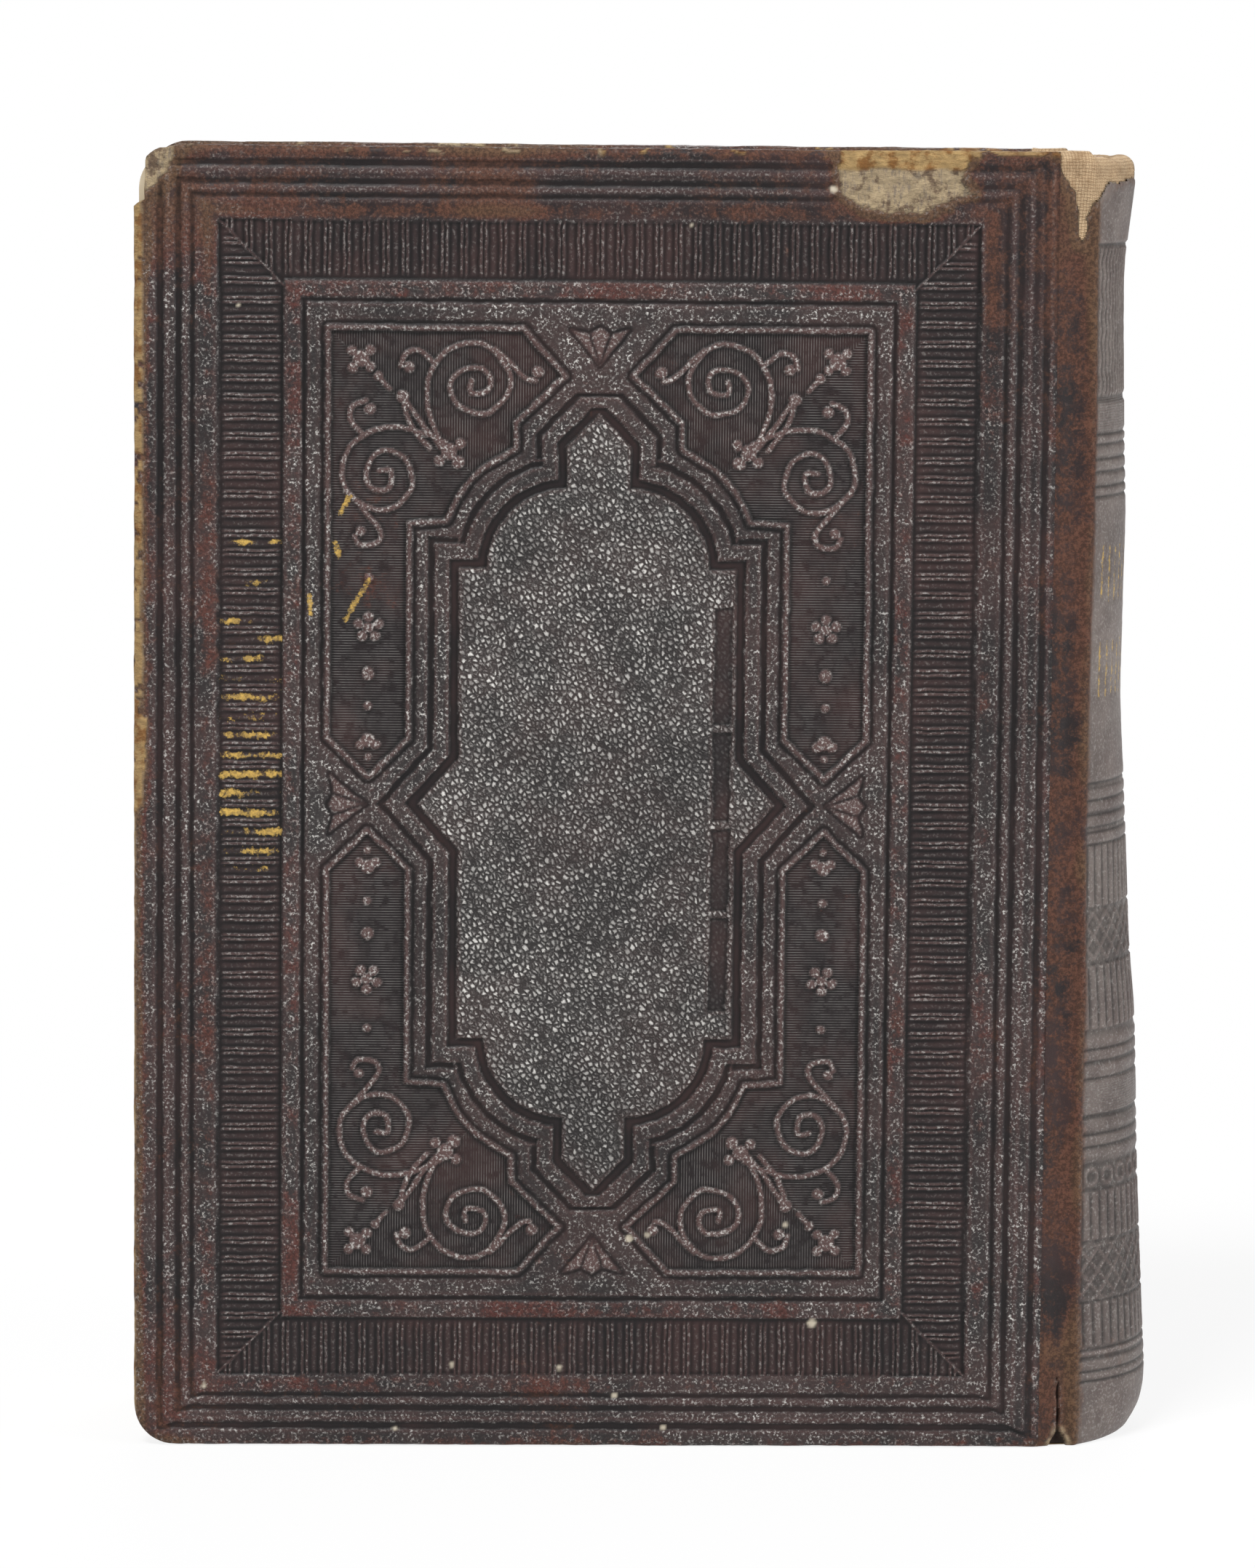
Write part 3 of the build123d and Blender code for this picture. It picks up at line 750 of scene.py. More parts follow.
# ---- covers ----
@dataclass
class Stamping:
    """Relief of the blind-stamped cover, as heights over plan coordinates (u, v) in millimetres.

    The design is the same in all four quarters, so it is drawn once over (|u|, |v|).
    """

    wall: float = 0.35
    outer_grooves: tuple = ((3.0, 3.8, 0.2), (4.9, 5.9, 0.24), (7.5, 8.6, 0.26))
    inner_groove: tuple = (-3.2, -2.4, 0.28)
    border_depth: float = 0.42
    panel_depth: float = 0.36
    cartouche_grooves: tuple = ((0.0, 1.4, 0.36), (3.6, 4.55, 0.3))
    line_half: float = 0.34
    strip_ends: tuple = ((18.4, 29.0), (17.9, -30.1))
    strip_half: float = 1.35
    fan_lift: float = 30.3
    strip_gaps: tuple = (11.2, -2.9, -15.9)

    def __post_init__(self) -> None:
        """Set out the outlines of one quarter."""
        bow = arc_path((4.4, 34.3), 11.7, 90.0, 0.0)
        self.cartouche = [(-3.0, 60.1), (0.0, 56.7), (4.6, 52.0), *bow, (20.0, 34.3), (20.0, 6.6),
                          (25.9, 0.0), (20.0, -6.6)]
        self.corner = [(11.0, 68.9), (5.0, 62.2), (12.0, 55.5), (12.0, 51.8),
                       *smooth_path([(14.0, 50.5), (17.0, 48.6), (19.3, 46.2), (20.7, 44.0),
                                     (22.0, 41.2)], 3),
                       (27.3, 40.8), (27.3, 9.6), (33.1, 3.9), (39.0, 9.6), (39.0, 68.9)]
        upper = [(22.6, 52.0), (23.8, 54.5), (24.7, 57.5), (24.8, 60.0), (24.3, 62.5), (22.0, 65.7),
                 (18.0, 66.9), (15.0, 65.6), (13.0, 62.5), (13.2, 59.4), (15.5, 57.0), (17.5, 56.7),
                 (20.3, 57.8), (21.5, 60.5), (20.3, 62.6), (17.5, 63.3), (15.8, 62.2), (16.0, 60.0),
                 (18.5, 59.7), (18.5, 61.4)]
        hook = [(23.9, 64.0), (26.0, 65.7), (27.9, 65.2), (28.6, 63.4)]
        tendril = [(15.0, 66.0), (13.4, 64.6), (12.0, 63.0), (10.4, 61.7), (9.2, 61.5)]
        stems = [[(22.8, 51.8), (25.4, 55.0), (28.3, 59.2)], [(24.4, 51.6), (27.2, 55.2), (28.3, 59.2)],
                 [(31.8, 62.0), (30.2, 60.2)]]
        tail = [(36.5, 45.5), (33.6, 42.4), (31.4, 39.6), (31.9, 37.9), (34.3, 37.6), (35.1, 38.9)]
        self.scrolls = [smooth_path(path, 3) for path in (upper, hook, tendril, tail, *stems)]
        self.scrolls += [smooth_path([self.across(*point) for point in path], 3) for path in (upper, hook)]
        self.beads = [(27.4, 63.3, 0.8), (8.9, 62.7, 0.8), (31.8, 62.0, 0.65), (33.0, 57.2, 0.8),
                      (34.3, 64.5, 1.2), (35.6, 65.6, 0.7), (33.0, 65.7, 0.7), (35.5, 63.2, 0.7),
                      (33.0, 63.3, 0.7), (20.0, 52.3, 0.75), (23.0, 49.9, 0.75), (20.3, 49.7, 0.9),
                      (21.6, 51.2, 1.15), (28.3, 59.0, 0.85), (34.3, 39.6, 0.7)]
        self.fan = [(33.4, 0.0), (38.6, 4.2), (37.9, 1.5), (38.9, 0.0), (37.9, -1.5), (38.6, -4.2)]
        strip = [(14.3, 0.6), (19.0, 0.9), (32.9, 0.6), (6.8, 0.5), (9.2, 1.0), (25.7, 0.8)]
        self.strip = [(33.1, height, size) for height, size in strip]
        self.strip += [(33.1 + 1.5 * math.cos(a), 25.7 + 1.5 * math.sin(a), 0.72)
                       for a in np.radians(90 + 72 * np.arange(5)).tolist()]
        self.strip += [(32.0, 8.6, 0.7), (34.2, 8.6, 0.7)]

    @staticmethod
    def across(a: float, b: float) -> tuple[float, float]:
        """Mirror image of a point of the corner panel in its 45 degree diagonal."""
        corner_a, corner_b = PANEL_CORNER
        return corner_a - (corner_b - b), corner_b - (corner_a - a)

    def region(self, path: Sequence[Point], offset: float, a: Array, b: Array) -> Array:
        """1 inside the quarter's outline moved outwards by an offset, 0 outside, with smooth walls."""
        moved = parallel_path(path, offset)[1:-1]
        closed = [(-FAR, moved[0][1]), *moved, (moved[-1][0], -FAR), (-FAR, -FAR)]
        distance = signed_distance(closed, a, b)
        return ramp(-self.wall / 2, self.wall / 2, -distance)

    def lines(self, a: Array, b: Array) -> Array:
        """1 on the raised scrolls and beads of a corner panel, falling to 0 at their feet."""
        raised = np.zeros(a.shape)
        near = (a > 4.0) & (a < 39.5) & (b > 34.0) & (b < 69.5)
        x, y = a[near], b[near]
        nearest = np.full(x.shape, 9.0)
        for path in self.scrolls:
            nearest = np.minimum(nearest, distance_to_path(path, x, y) - self.line_half)
        for bead_x, bead_y, size in self.beads:
            nearest = np.minimum(nearest, np.hypot(x - bead_x, y - bead_y) - size)
        raised[near] = 1 - ramp(-0.2, 0.22, nearest)
        for bead_x, bead_y, size in self.strip:
            raised = np.maximum(raised, 1 - ramp(-0.2, 0.22, np.hypot(a - bead_x, b - bead_y) - size))
        return raised

    def fields(self, u: Array, v: Array) -> tuple[Array, Fields]:
        """Height of the stamped leather and the attributes that its finish follows.

        Args:
            u: Distances from the panel's middle towards the spine.
            v: Distances up from the panel's middle.

        Returns:
            Heights, 0 at the face and negative below it, and press, hatch_u and hatch_v from 0 to 1.
        """
        a, b = np.abs(u), np.abs(v)
        height, press = np.zeros(a.shape), np.zeros(a.shape)
        outside = np.maximum(a - BORDER[0], b - BORDER[1])
        inside = np.maximum(a - BORDER_INSIDE[0], b - BORDER_INSIDE[1])
        faint = 1 - 0.55 * ramp(58.0, 84.0, v) * ramp(10.0, 48.0, u)
        sideways = ramp(-1.2, 1.2, (a - BORDER[0]) - (b - BORDER[1]))
        shift = 0.25 * sideways - 0.5 * (v < -BORDER[1]) * (1 - sideways)
        for start, end, depth in self.outer_grooves:
            wider = 1.2 * (u > 0) * (start > 7) * sideways
            groove = trough(outside - shift - wider, start, end, 0.5)
            height -= depth * faint * groove
            press = np.maximum(press, groove)
        groove = trough(inside, *self.inner_groove[:2], self.wall)
        height -= self.inner_groove[2] * groove
        press = np.maximum(press, groove)
        raised_rim = bump(outside - shift, 4.35, 0.35) + bump(outside - shift, 6.9, 0.35)
        height += 0.07 * raised_rim

        border = ramp(-0.25, 0.25, -outside) * ramp(-0.25, 0.25, inside)
        on_side = (BORDER[0] - a) < (BORDER[1] - b)
        along = np.where(on_side, v, u)
        turn = np.mod(along + RIB_PITCH / 2, RIB_PITCH) - RIB_PITCH / 2
        ridges = bump(turn, -0.33, 0.17) + bump(turn, 0.33, 0.17) + 0.45 * bump(np.abs(turn), 1.4, 0.55)
        mitre = bump((BORDER[0] - a) - (BORDER[1] - b), 0.0, 0.25)
        ridges = np.maximum(ridges * (1 - mitre), 1.1 * mitre)
        across = np.where(on_side, a - BORDER_INSIDE[0], b - BORDER_INSIDE[1])
        body = trough(across, 0.9, BORDER[0] - BORDER_INSIDE[0] - 0.9, 0.9)
        height -= border * (self.border_depth - 0.3 * ridges * np.maximum(body, mitre))
        press = np.maximum(press, border)

        in_field = float(a.min()) < 46 and float(b.min()) < 76
        by_corner = float(a.min()) < 40
        if in_field:
            self.middle(a, b, height, press)
        panel = ramp(-0.2, 0.2, -signed_distance(self.corner, a, b) - 0.4) if by_corner else 0 * a
        raised = self.lines(a, b) if by_corner else 0 * a
        height += self.panel_depth * 0.85 * raised * np.clip(-height / self.panel_depth, 0, 1)
        upright = (PANEL_CORNER[0] - a) < (PANEL_CORNER[1] - b)
        hatch = panel * (1 - raised)
        thin = np.maximum(bump(turn, -0.33, 0.15), bump(turn, 0.33, 0.15)) * (1 - mitre) * body
        line = np.maximum(0.85 * raised,
                          border * np.where(on_side, 0.75, 0.4) * np.maximum(thin, 0.6 * mitre))
        line = np.maximum(line, 0.4 * raised_rim)
        fields = {"press": press * (1 - raised), "line": line, "hatch_v": hatch * upright,
                  "hatch_u": hatch * ~upright}
        if in_field:
            np.maximum(line, 0.8 * bump(signed_distance(self.corner, a, b), 0.05, 0.28), out=line)
            fields["coarse"] = self.region(self.cartouche, 0.0, a, b)
            for near, far in ((a, b), (b - self.fan_lift, a)):
                fan = signed_distance(self.fan, near, far)
                spokes = distance_to_path([(33.4, 0.0), self.fan[2]], near, far)
                height -= 0.2 * bump(fan, 0.3, 0.35) + 0.12 * bump(spokes, 0.0, 0.25) * (fan < 0)
                line[...] = np.maximum(line, 0.7 * ramp(0.15, -0.25, fan) * (1 - bump(spokes, 0.0, 0.25)))
                fields["press"] = np.maximum(fields["press"], ramp(0.7, 0.4, fan))
            self.strip_of_type(u, v, height, fields["press"])
        return height, fields

    def strip_of_type(self, u: Array, v: Array, height: Array, press: Array) -> None:
        """Press the smooth, slightly slanting strip beside the cartouche's line into a height field."""
        (top_u, top_v), (foot_u, foot_v) = self.strip_ends
        middle = top_u + (v - top_v) * (foot_u - top_u) / (foot_v - top_v)
        wavy = 0.3 * rough(u, v, 1.9, 88, 3)
        pressed = trough(u - middle + wavy, -self.strip_half, self.strip_half, 0.4)
        pressed = pressed * trough(v + wavy, foot_v, top_v, 0.4)
        for gap in self.strip_gaps:
            pressed = pressed * (1 - trough(v + wavy, gap - 0.5, gap + 0.5, 0.3))
        height -= 0.3 * pressed
        np.maximum(press, 0.9 * pressed, out=press)

    def middle(self, a: Array, b: Array, height: Array, press: Array) -> None:
        """Press the corner panels and the cartouche's double line into a height field."""
        corner = signed_distance(self.corner, a, b)
        panel = ramp(-0.2, 0.2, -corner - 0.4)
        height -= self.panel_depth * panel
        height += 0.16 * bump(corner, 0.05, 0.3)
        height -= 0.24 * bump(corner, 0.85, 0.42)
        np.maximum(press, bump(corner, 0.85, 0.45), out=press)
        for start, end, depth in self.cartouche_grooves:
            ring = self.region(self.cartouche, end, a, b) - self.region(self.cartouche, start, a, b)
            height -= depth * ring
            np.maximum(press, ring, out=press)
        np.maximum(press, 0.45 * panel, out=press)


@dataclass
class Wear:
    """Rubbing, tears, gold remains and lost leather of one cover, over its plan coordinates."""

    side: Side
    seed: int = 5
    patch: tuple = ((34.3, 97.0), (34.3, 90.3), (34.4, 88.5), (36.0, 87.6), (40.0, 86.2), (42.0, 85.9),
                    (43.0, 86.5), (46.0, 85.8), (48.5, 87.0), (51.5, 88.2), (53.6, 88.8), (52.2, 90.8),
                    (52.0, 92.0), (53.0, 93.3), (54.3, 97.0))
    corner: tuple = ((-70.0, 97.0), (-61.3, 97.0), (-61.5, 93.0), (-62.3, 90.5), (-64.0, 89.0),
                     (-65.9, 87.6), (-70.0, 86.0))
    split_line: float = 92.3
    gold: tuple = ((-51.2, 38.1, 1.2), (-46.7, 38.1, 0.9), (-54.0, 19.9, 1.6), (-50.0, 21.0, 1.5),
                   (-52.5, 26.0, 1.6), (-47.0, 24.0, 1.6), (-48.5, 14.5, 2.2), (-53.0, 11.0, 1.8),
                   (-49.5, 31.5, 1.2), (-46.5, 17.0, 1.6), (-51.5, 5.1, 4.4), (-53.4, 2.2, 3.0),
                   (-47.2, 5.4, 3.4), (-46.5, -4.1, 2.6), (-49.5, -2.0, 3.0), (-53.2, -1.0, 2.8),
                   (-49.5, -8.0, 2.6), (-50.0, 10.5, 2.6), (-52.0, 16.0, 2.2))
    strokes: tuple = (((-36.0, 44.6), (-37.2, 42.0)), ((-37.9, 37.8), (-37.4, 36.0)),
                      ((-33.1, 32.5), (-36.4, 26.8)), ((-41.6, 30.3), (-41.4, 27.6)))
    spots: tuple = ((-56.7, -86.1, 0.5), (-20.4, -82.9, 0.5), (-4.6, -83.2, 0.6), (3.5, -87.3, 0.6),
                    (-28.7, -92.4, 0.5), (10.7, -92.2, 0.5), (5.5, -63.9, 0.8), (8.1, -63.3, 0.6),
                    (28.2, -61.8, 0.6), (32.4, -76.4, 1.0), (33.3, 89.3, 0.8), (13.0, 84.0, 0.35),
                    (-52.0, 72.0, 0.3))

    def rubbing(self, u: Array, v: Array, seed: int) -> Array:
        """How worn each place is: most at the head, on the outer bands and along the edges."""
        a, b = np.abs(u), np.abs(v)
        edge = np.minimum(COVER_HALF[0] + u, COVER_HALF[1] - b)
        outside = np.maximum(a - BORDER[0], b - BORDER[1])
        inside = np.maximum(a - BORDER_INSIDE[0], b - BORDER_INSIDE[1])
        at_head, margin = ramp(62.0, 82.0, v), ramp(-0.3, 0.4, outside)
        wear = 0.2 + 0.2 * rough(u, v, 16.0, seed) + 0.3 * (1 - ramp(0.2, 2.6, edge))
        wear += margin * (0.08 + 0.16 * at_head + 0.1 * (u < 0)) + 0.16 * bump(outside, 1.4, 1.3)
        wear += (0.3 + 0.12 * at_head) * trough(inside, -2.4, 0.0, 0.6) + 0.2 * ramp(62.5, 66.0, u)
        wear += (0.26 * bump(np.hypot(u + 62, v - 88), 0.0, 9.0)
                 + 0.2 * bump(np.hypot(u + 62, v + 90), 0.0, 7.0))
        return wear - 0.2 * ramp(3.0, 9.0, -inside) * ramp(0.0, 26.0, 60.0 - b) * ramp(22.0, 18.0, a)

    def losses(self, u: Array, v: Array, height: Array, seed: int) -> tuple[Array, Fields]:
        """Take leather away inside the torn outlines; the split line parts the board from the lining."""
        ragged = 0.5 * rough(u, v, 1.8, seed + 20) + 0.3 * rough(u, v, 0.5, seed + 23, 2)
        bare, rim = np.zeros(u.shape), np.zeros(u.shape)
        outlines = [self.patch, self.corner] if self.side is Side.BACK else [
            tuple((-3.0 - x * 0.4, y + 2.0) for x, y in self.patch)]
        layer = ramp(-0.25, 0.25, v - self.split_line + 0.5 * rough(u, v * 0, 3.0, seed + 25)) * (u > 0)
        floor = (-0.5 + 0.24 * layer + 0.26 * layer * rough(u, v, 3.2, seed + 27)
                 + 0.06 * rough(u, v, 0.8, seed + 29))
        for outline in outlines:
            distance = signed_distance(outline, u, v) + ragged
            lost = 1 - ramp(-0.35, 0.1, distance)
            bare = np.maximum(bare, lost)
            height = height * (1 - lost) + floor * lost + 0.12 * bump(distance, 0.5, 0.4)
            rim = np.maximum(rim, bump(distance, 0.3, 1.1))
        strip = trough(v, 12.0, 88.0, 8.0) + 1.2 * trough(v, -1.0, 13.0, 2.0)
        ragged_edge = COVER_HALF[0] + u - (1 + 0.6 * rough(u, v, 7.0, seed + 31)) * strip
        thread = 1 - ramp(0.05, 0.5, ragged_edge)
        bare = np.maximum(bare, 0.85 * thread * (rough(u, v, 1.2, seed + 33, 2) > -0.4))
        top = 1 - ramp(0.1, 0.6, COVER_HALF[1] - v - 0.5 * (1 + rough(u, v * 0, 6.0, seed + 35)))
        frayed = rough(u, v, 2.0, seed + 37, 3) + 0.5 * trough(u, 52.0, 67.0, 3.0) > 0.4
        bare = np.maximum(bare, 0.7 * top * frayed)
        rim = np.maximum(rim, 0.6 * bump(ragged_edge, 0.5, 0.9))
        return height, {"bare": bare, "layer": np.maximum(layer, thread), "rim": rim}

    def fields(self, u: Array, v: Array, height: Array) -> tuple[Array, Fields]:
        """Change the heights where leather is lost, and say how worn each place is.

        Args:
            u: Distances from the panel's middle towards the spine.
            v: Distances up from the panel's middle.
            height: Heights before the wear.

        Returns:
            The worn heights, and wear, bare, layer, gilt and fleck from 0 to 1.
        """
        seed = self.seed + 40 * (self.side is Side.FRONT)
        edge = np.minimum(67.0 + u, 95.0 - np.abs(v))
        height = height + 0.05 * rough(u, v, 14.0, seed + 3, 3) + 0.014 * rough(u, v, 1.1, seed + 9, 2)
        height -= 0.1 * (1 - ramp(0.4, 2.6, edge)) * rough(u, v, 2.0, seed + 11)
        height, lost = self.losses(u, v, height, seed)
        wear = self.rubbing(u, v, seed) + 0.6 * lost.pop("rim")
        gilt, fleck = np.zeros(u.shape), np.zeros(u.shape)
        if self.side is Side.BACK and float(u.min()) < -30 and float(v.max()) > -20 and float(v.min()) < 50:
            turn = np.mod(v, 2.8)
            bars = bump(turn, 1.4, 0.8) * (u < -45.5) * (u > -54.7)
            for spot_u, spot_v, size in self.gold:
                gilt = np.maximum(gilt, bars * bump(np.hypot(0.6 * (u - spot_u), v - spot_v), 0.0, size))
            for stroke in self.strokes:
                gilt = np.maximum(gilt, 0.85 * (1 - ramp(0.1, 0.9, distance_to_path(stroke, u, v))))
        if self.side is Side.BACK:
            for spot_u, spot_v, size in self.spots:
                distance = np.hypot(u - spot_u, v - spot_v) + 0.2 * rough(u, v, 0.9, 95, 2)
                fleck = np.maximum(fleck, 0.9 - 0.9 * ramp(0.7 * size - 0.25, 0.7 * size + 0.15, distance))
        outside = np.maximum(np.abs(u) - 54.9, np.abs(v) - 84.4)
        smooth = 0.75 * ramp(-0.4, 0.4, outside) * ramp(66.0, 84.0, v + 0.12 * u)
        smooth += 0.3 * ramp(-0.4, 0.4, outside) * ramp(-0.4, 0.3, rough(u, v, 24.0, seed + 50, 3))
        fields = {"wear": np.clip(wear, 0, 1), "gilt": gilt, "fleck": fleck, "smooth": smooth, **lost}
        return height + 0.08 * fleck, fields


@dataclass
class Cover:
    """Covering leather of one board: patches of stamped skin, a rolled edge and the turned-in margin."""

    book: BookFrame
    side: Side
    skin: StampedLeather
    fine: float = 0.26
    edge_inset: float = 1.6
    edge_radius: float = 1.1
    turn_in: float = 12.0
    wander: float = 0.14

    def __post_init__(self) -> None:
        """Prepare the stamping and the wear."""
        self.stamping = Stamping()
        self.worn = Wear(self.side)
        self.left = self.book.fore_x - self.book.panel_x
        self.right = self.book.board_x - self.book.panel_x
        self.top = self.book.head_z - self.book.middle_z

    def relief(self, u: Array, v: Array) -> tuple[Array, Fields]:
        """Height and attributes of the skin, with the stamping, the wear and the fall to the joint."""
        aside, aloft = rough(u, v, 1.6, self.worn.seed + 60, 2), rough(u, v, 1.6, self.worn.seed + 63, 2)
        height, fields = self.stamping.fields(u + self.wander * aside, v + self.wander * aloft)
        height, worn = self.worn.fields(u, v, height)
        fields["press"] = np.clip(np.maximum(fields["press"], worn.pop("smooth")), 0, 1)
        height = height - self.book.board_drop * ramp(self.right - 1.4, self.right + 0.2, u)
        return height, {**fields, **worn}

    def surface(self, u: Array, v: Array, height: Array, fields: Fields, flip: bool) -> Surface:
        """Surface over a grid of plan coordinates, standing out from the middle plane on this side."""
        outward = self.side.value
        points = np.stack([self.book.panel_x + u, outward * (self.book.face + height),
                           self.book.middle_z + v], -1)
        quads = grid_quads(*u.shape, flip=flip)
        return Surface(points.reshape(-1, 3), quads,
                       {key: values.ravel() for key, values in fields.items()})

    def patch(self, name: str, u_lines: Array, v_lines: Array) -> None:
        """One patch of stamped skin over a grid of lines.

        The square of side r at a rounded corner is mapped to a quarter disc:
        (p, q) goes to (p sqrt(1 - q^2/2r^2), q sqrt(1 - p^2/2r^2)).
        """
        u, v = np.meshgrid(u_lines, v_lines)
        r = self.book.corner_radius - self.edge_inset
        centre_u, centre_v = self.left + self.book.corner_radius, self.top - self.book.corner_radius
        p, q = np.clip((centre_u - u) / r, 0, 1), np.clip((np.abs(v) - centre_v) / r, 0, 1)
        u = u + r * (p - p * np.sqrt(1 - q**2 / 2))
        v = v - np.sign(v) * r * (q - q * np.sqrt(1 - p**2 / 2))
        u, v = self.snagged(u, v)
        height, fields = self.relief(u, v)
        # Hollow and ridge of the relief, which the leather turns into painted shade and a painted highlight.
        fields["hollow"], fields["ridge"] = hollows_and_ridges(height, np.ptp(v_lines) / len(v_lines),
                                                              np.ptp(u_lines) / len(u_lines))
        surface = self.surface(u, v, height, fields, self.side is Side.FRONT)
        piece = make_piece(f"{self.side.word}_cover_{name}", surface, self.skin.material())
        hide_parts(f"{self.side.word}_cover_leather")
        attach(piece, f"{self.side.word}_cover")

    def snagged(self, u: Array, v: Array) -> tuple[Array, Array]:
        """Plan coordinates drawn in where the back cover's corner has lost its leather."""
        if self.side is Side.FRONT:
            return u, v
        share = ramp(86.2, 87.0, v) * ramp(-60.0, -63.0, u)
        return u + share * np.clip(-65.3 - u, 0, 1.5), v - share * np.clip(v - 94.4, 0, 0.6)

    def patches(self) -> None:
        """All patches of the skin, which meet on the flat bands between the stamped lines."""
        def lines(start: float, end: float, step: float) -> Array:
            return np.linspace(start, end, int(math.ceil((end - start) / step)) + 1)

        field_u, field_v, border_u, border_v, seam = 44.2, 74.6, 56.3, 85.8, 22.0
        fine, rib, coarse = self.fine, 0.2, 0.55
        far_u, far_v, right = self.left + self.edge_inset, self.top - self.edge_inset, self.right
        for name, low, high in (("field_tail", -field_v, -seam), ("field_middle", -seam, seam),
                                ("field_head", seam, field_v)):
            self.patch(name, lines(-field_u, field_u, fine), lines(low, high, fine))
        for word, sign in (("fore", -1), ("spine", 1)):
            thick = np.sort(np.array([field_u, border_u]) * sign)
            self.patch(f"ribs_{word}", lines(thick[0], thick[1], 0.5), lines(-field_v, field_v, rib))
            self.patch(f"mitre_{word}_head", lines(thick[0], thick[1], rib), lines(field_v, border_v, rib))
            self.patch(f"mitre_{word}_tail", lines(thick[0], thick[1], rib), lines(-border_v, -field_v, rib))
        self.patch("ribs_head", lines(-field_u, field_u, rib), lines(field_v, border_v, 0.45))
        self.patch("ribs_tail", lines(-field_u, field_u, rib), lines(-border_v, -field_v, 0.45))
        self.patch("margin_fore", lines(far_u, -border_u, rib), lines(-border_v, border_v, coarse))
        self.patch("margin_spine", lines(border_u, right, rib), lines(-border_v, border_v, coarse))
        self.patch("margin_head", lines(far_u, right, 0.34), lines(border_v, far_v, rib))
        self.patch("margin_tail", lines(far_u, right, 0.4), lines(-far_v, -border_v, rib))

    def rim(self, inset: float, radius: float) -> tuple[Array, Array]:
        """Points and outward directions along the three turned-in edges, from spine end to spine end.

        Args:
            inset: Distance in from the cover's outline.
            radius: Radius at the corners; 0 repeats the corner point.

        Returns:
            Plan coordinates of the points and their outward directions, in step for every inset.
        """
        angles = np.radians(np.linspace(90, 180, 13))
        straight = np.linspace(0, 1, 260)[:, None]
        upright = np.linspace(0, 1, 360)[1:-1, None]
        left, top = self.left + inset + radius, self.top - inset - radius
        start, turn = np.array([self.right, self.top - inset]), np.array([left, self.top - inset])
        arc = np.stack([np.cos(angles), np.sin(angles)], 1)
        head = start + straight * (turn - start)
        corner = np.array([left, top]) + radius * arc
        fore = corner[-1] + upright * (corner[-1] * [1, -1] - corner[-1])
        half = np.vstack([head[:-1], corner])
        way = np.vstack([np.tile([0.0, 1.0], (len(head) - 1, 1)), arc])
        points = np.vstack([half, fore, half[::-1] * [1, -1]])
        ways = np.vstack([way, np.tile([-1.0, 0.0], (len(fore), 1)), way[::-1] * [1, -1]])
        return points, ways

    def edge(self) -> None:
        """Leather rolled round the edge of the board and turned in on its inside.

        The profile runs from the face over a quarter circle, down the edge, round a second quarter circle and
        across the inside to the turn-in's far side, which has square corners.
        """
        book, r, inset = self.book, self.edge_radius, self.edge_inset
        depth = book.face - book.board_inside
        turns = np.radians(np.linspace(0, 90, 7))
        out = [0.0, *(inset - r + r * np.sin(turns)).tolist(),
               *(inset - r + r * np.cos(turns[1:])).tolist()]
        down = [0.0, *(r - r * np.cos(turns)).tolist(), *(depth - r + r * np.sin(turns[1:])).tolist()]
        out.insert(8, inset)
        down.insert(8, depth / 2)
        line, way = self.rim(inset, book.corner_radius - inset)
        inner = self.rim(self.turn_in, 0.0)[0]
        rows = [line + distance * way for distance in out]
        last = rows[-1]
        rows += [last + share * (inner - last) for share in (0.25, 0.5, 0.75, 1.0)]
        down += [depth] * 4
        grid = np.stack(rows)
        fall = np.broadcast_to(np.array(down)[:, None], grid.shape[:2])
        u, v = grid[..., 0], grid[..., 1]
        seed = 70 + self.side.value
        dent = 0.18 * rough(u + 3.0 * fall, v, 6.0, seed) + 0.1 * rough(u + 2.0 * fall, v, 1.3, seed + 5)
        share = ramp(0.1, 1.4, fall) * (1 - ramp(depth - 0.6, depth, fall))
        nudge = np.minimum(dent - 0.1, 0.12) * share
        u, v = self.snagged(u + way[:, 0] * nudge, v + way[:, 1] * nudge)
        _, fields = self.relief(u, v)
        height0, _ = self.relief(line[:, 0], line[:, 1])
        height = height0 * (1 - ramp(0.0, 0.8, fall)) - fall
        fields["wear"] = np.clip(fields["wear"] * (1 - 0.6 * ramp(depth - 0.3, depth, fall)), 0, 1)
        fields["press"] = np.where(fall > 0.5, 0.35, fields["press"])
        inside = ramp(depth - 0.3, depth - 0.05, fall)
        fields["bare"] = fields["bare"] * (1 - inside)
        for name in ("hatch_u", "hatch_v", "line"):
            fields[name] = 0 * u
        surface = self.surface(u, v, height, fields, self.side is Side.BACK)
        piece = make_piece(f"{self.side.word}_cover_edge", surface, self.skin.material())
        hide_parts(f"{self.side.word}_cover_leather")
        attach(piece, f"{self.side.word}_cover")

    def build(self) -> None:
        """Build the cover's skin and edge."""
        self.patches()
        self.edge()


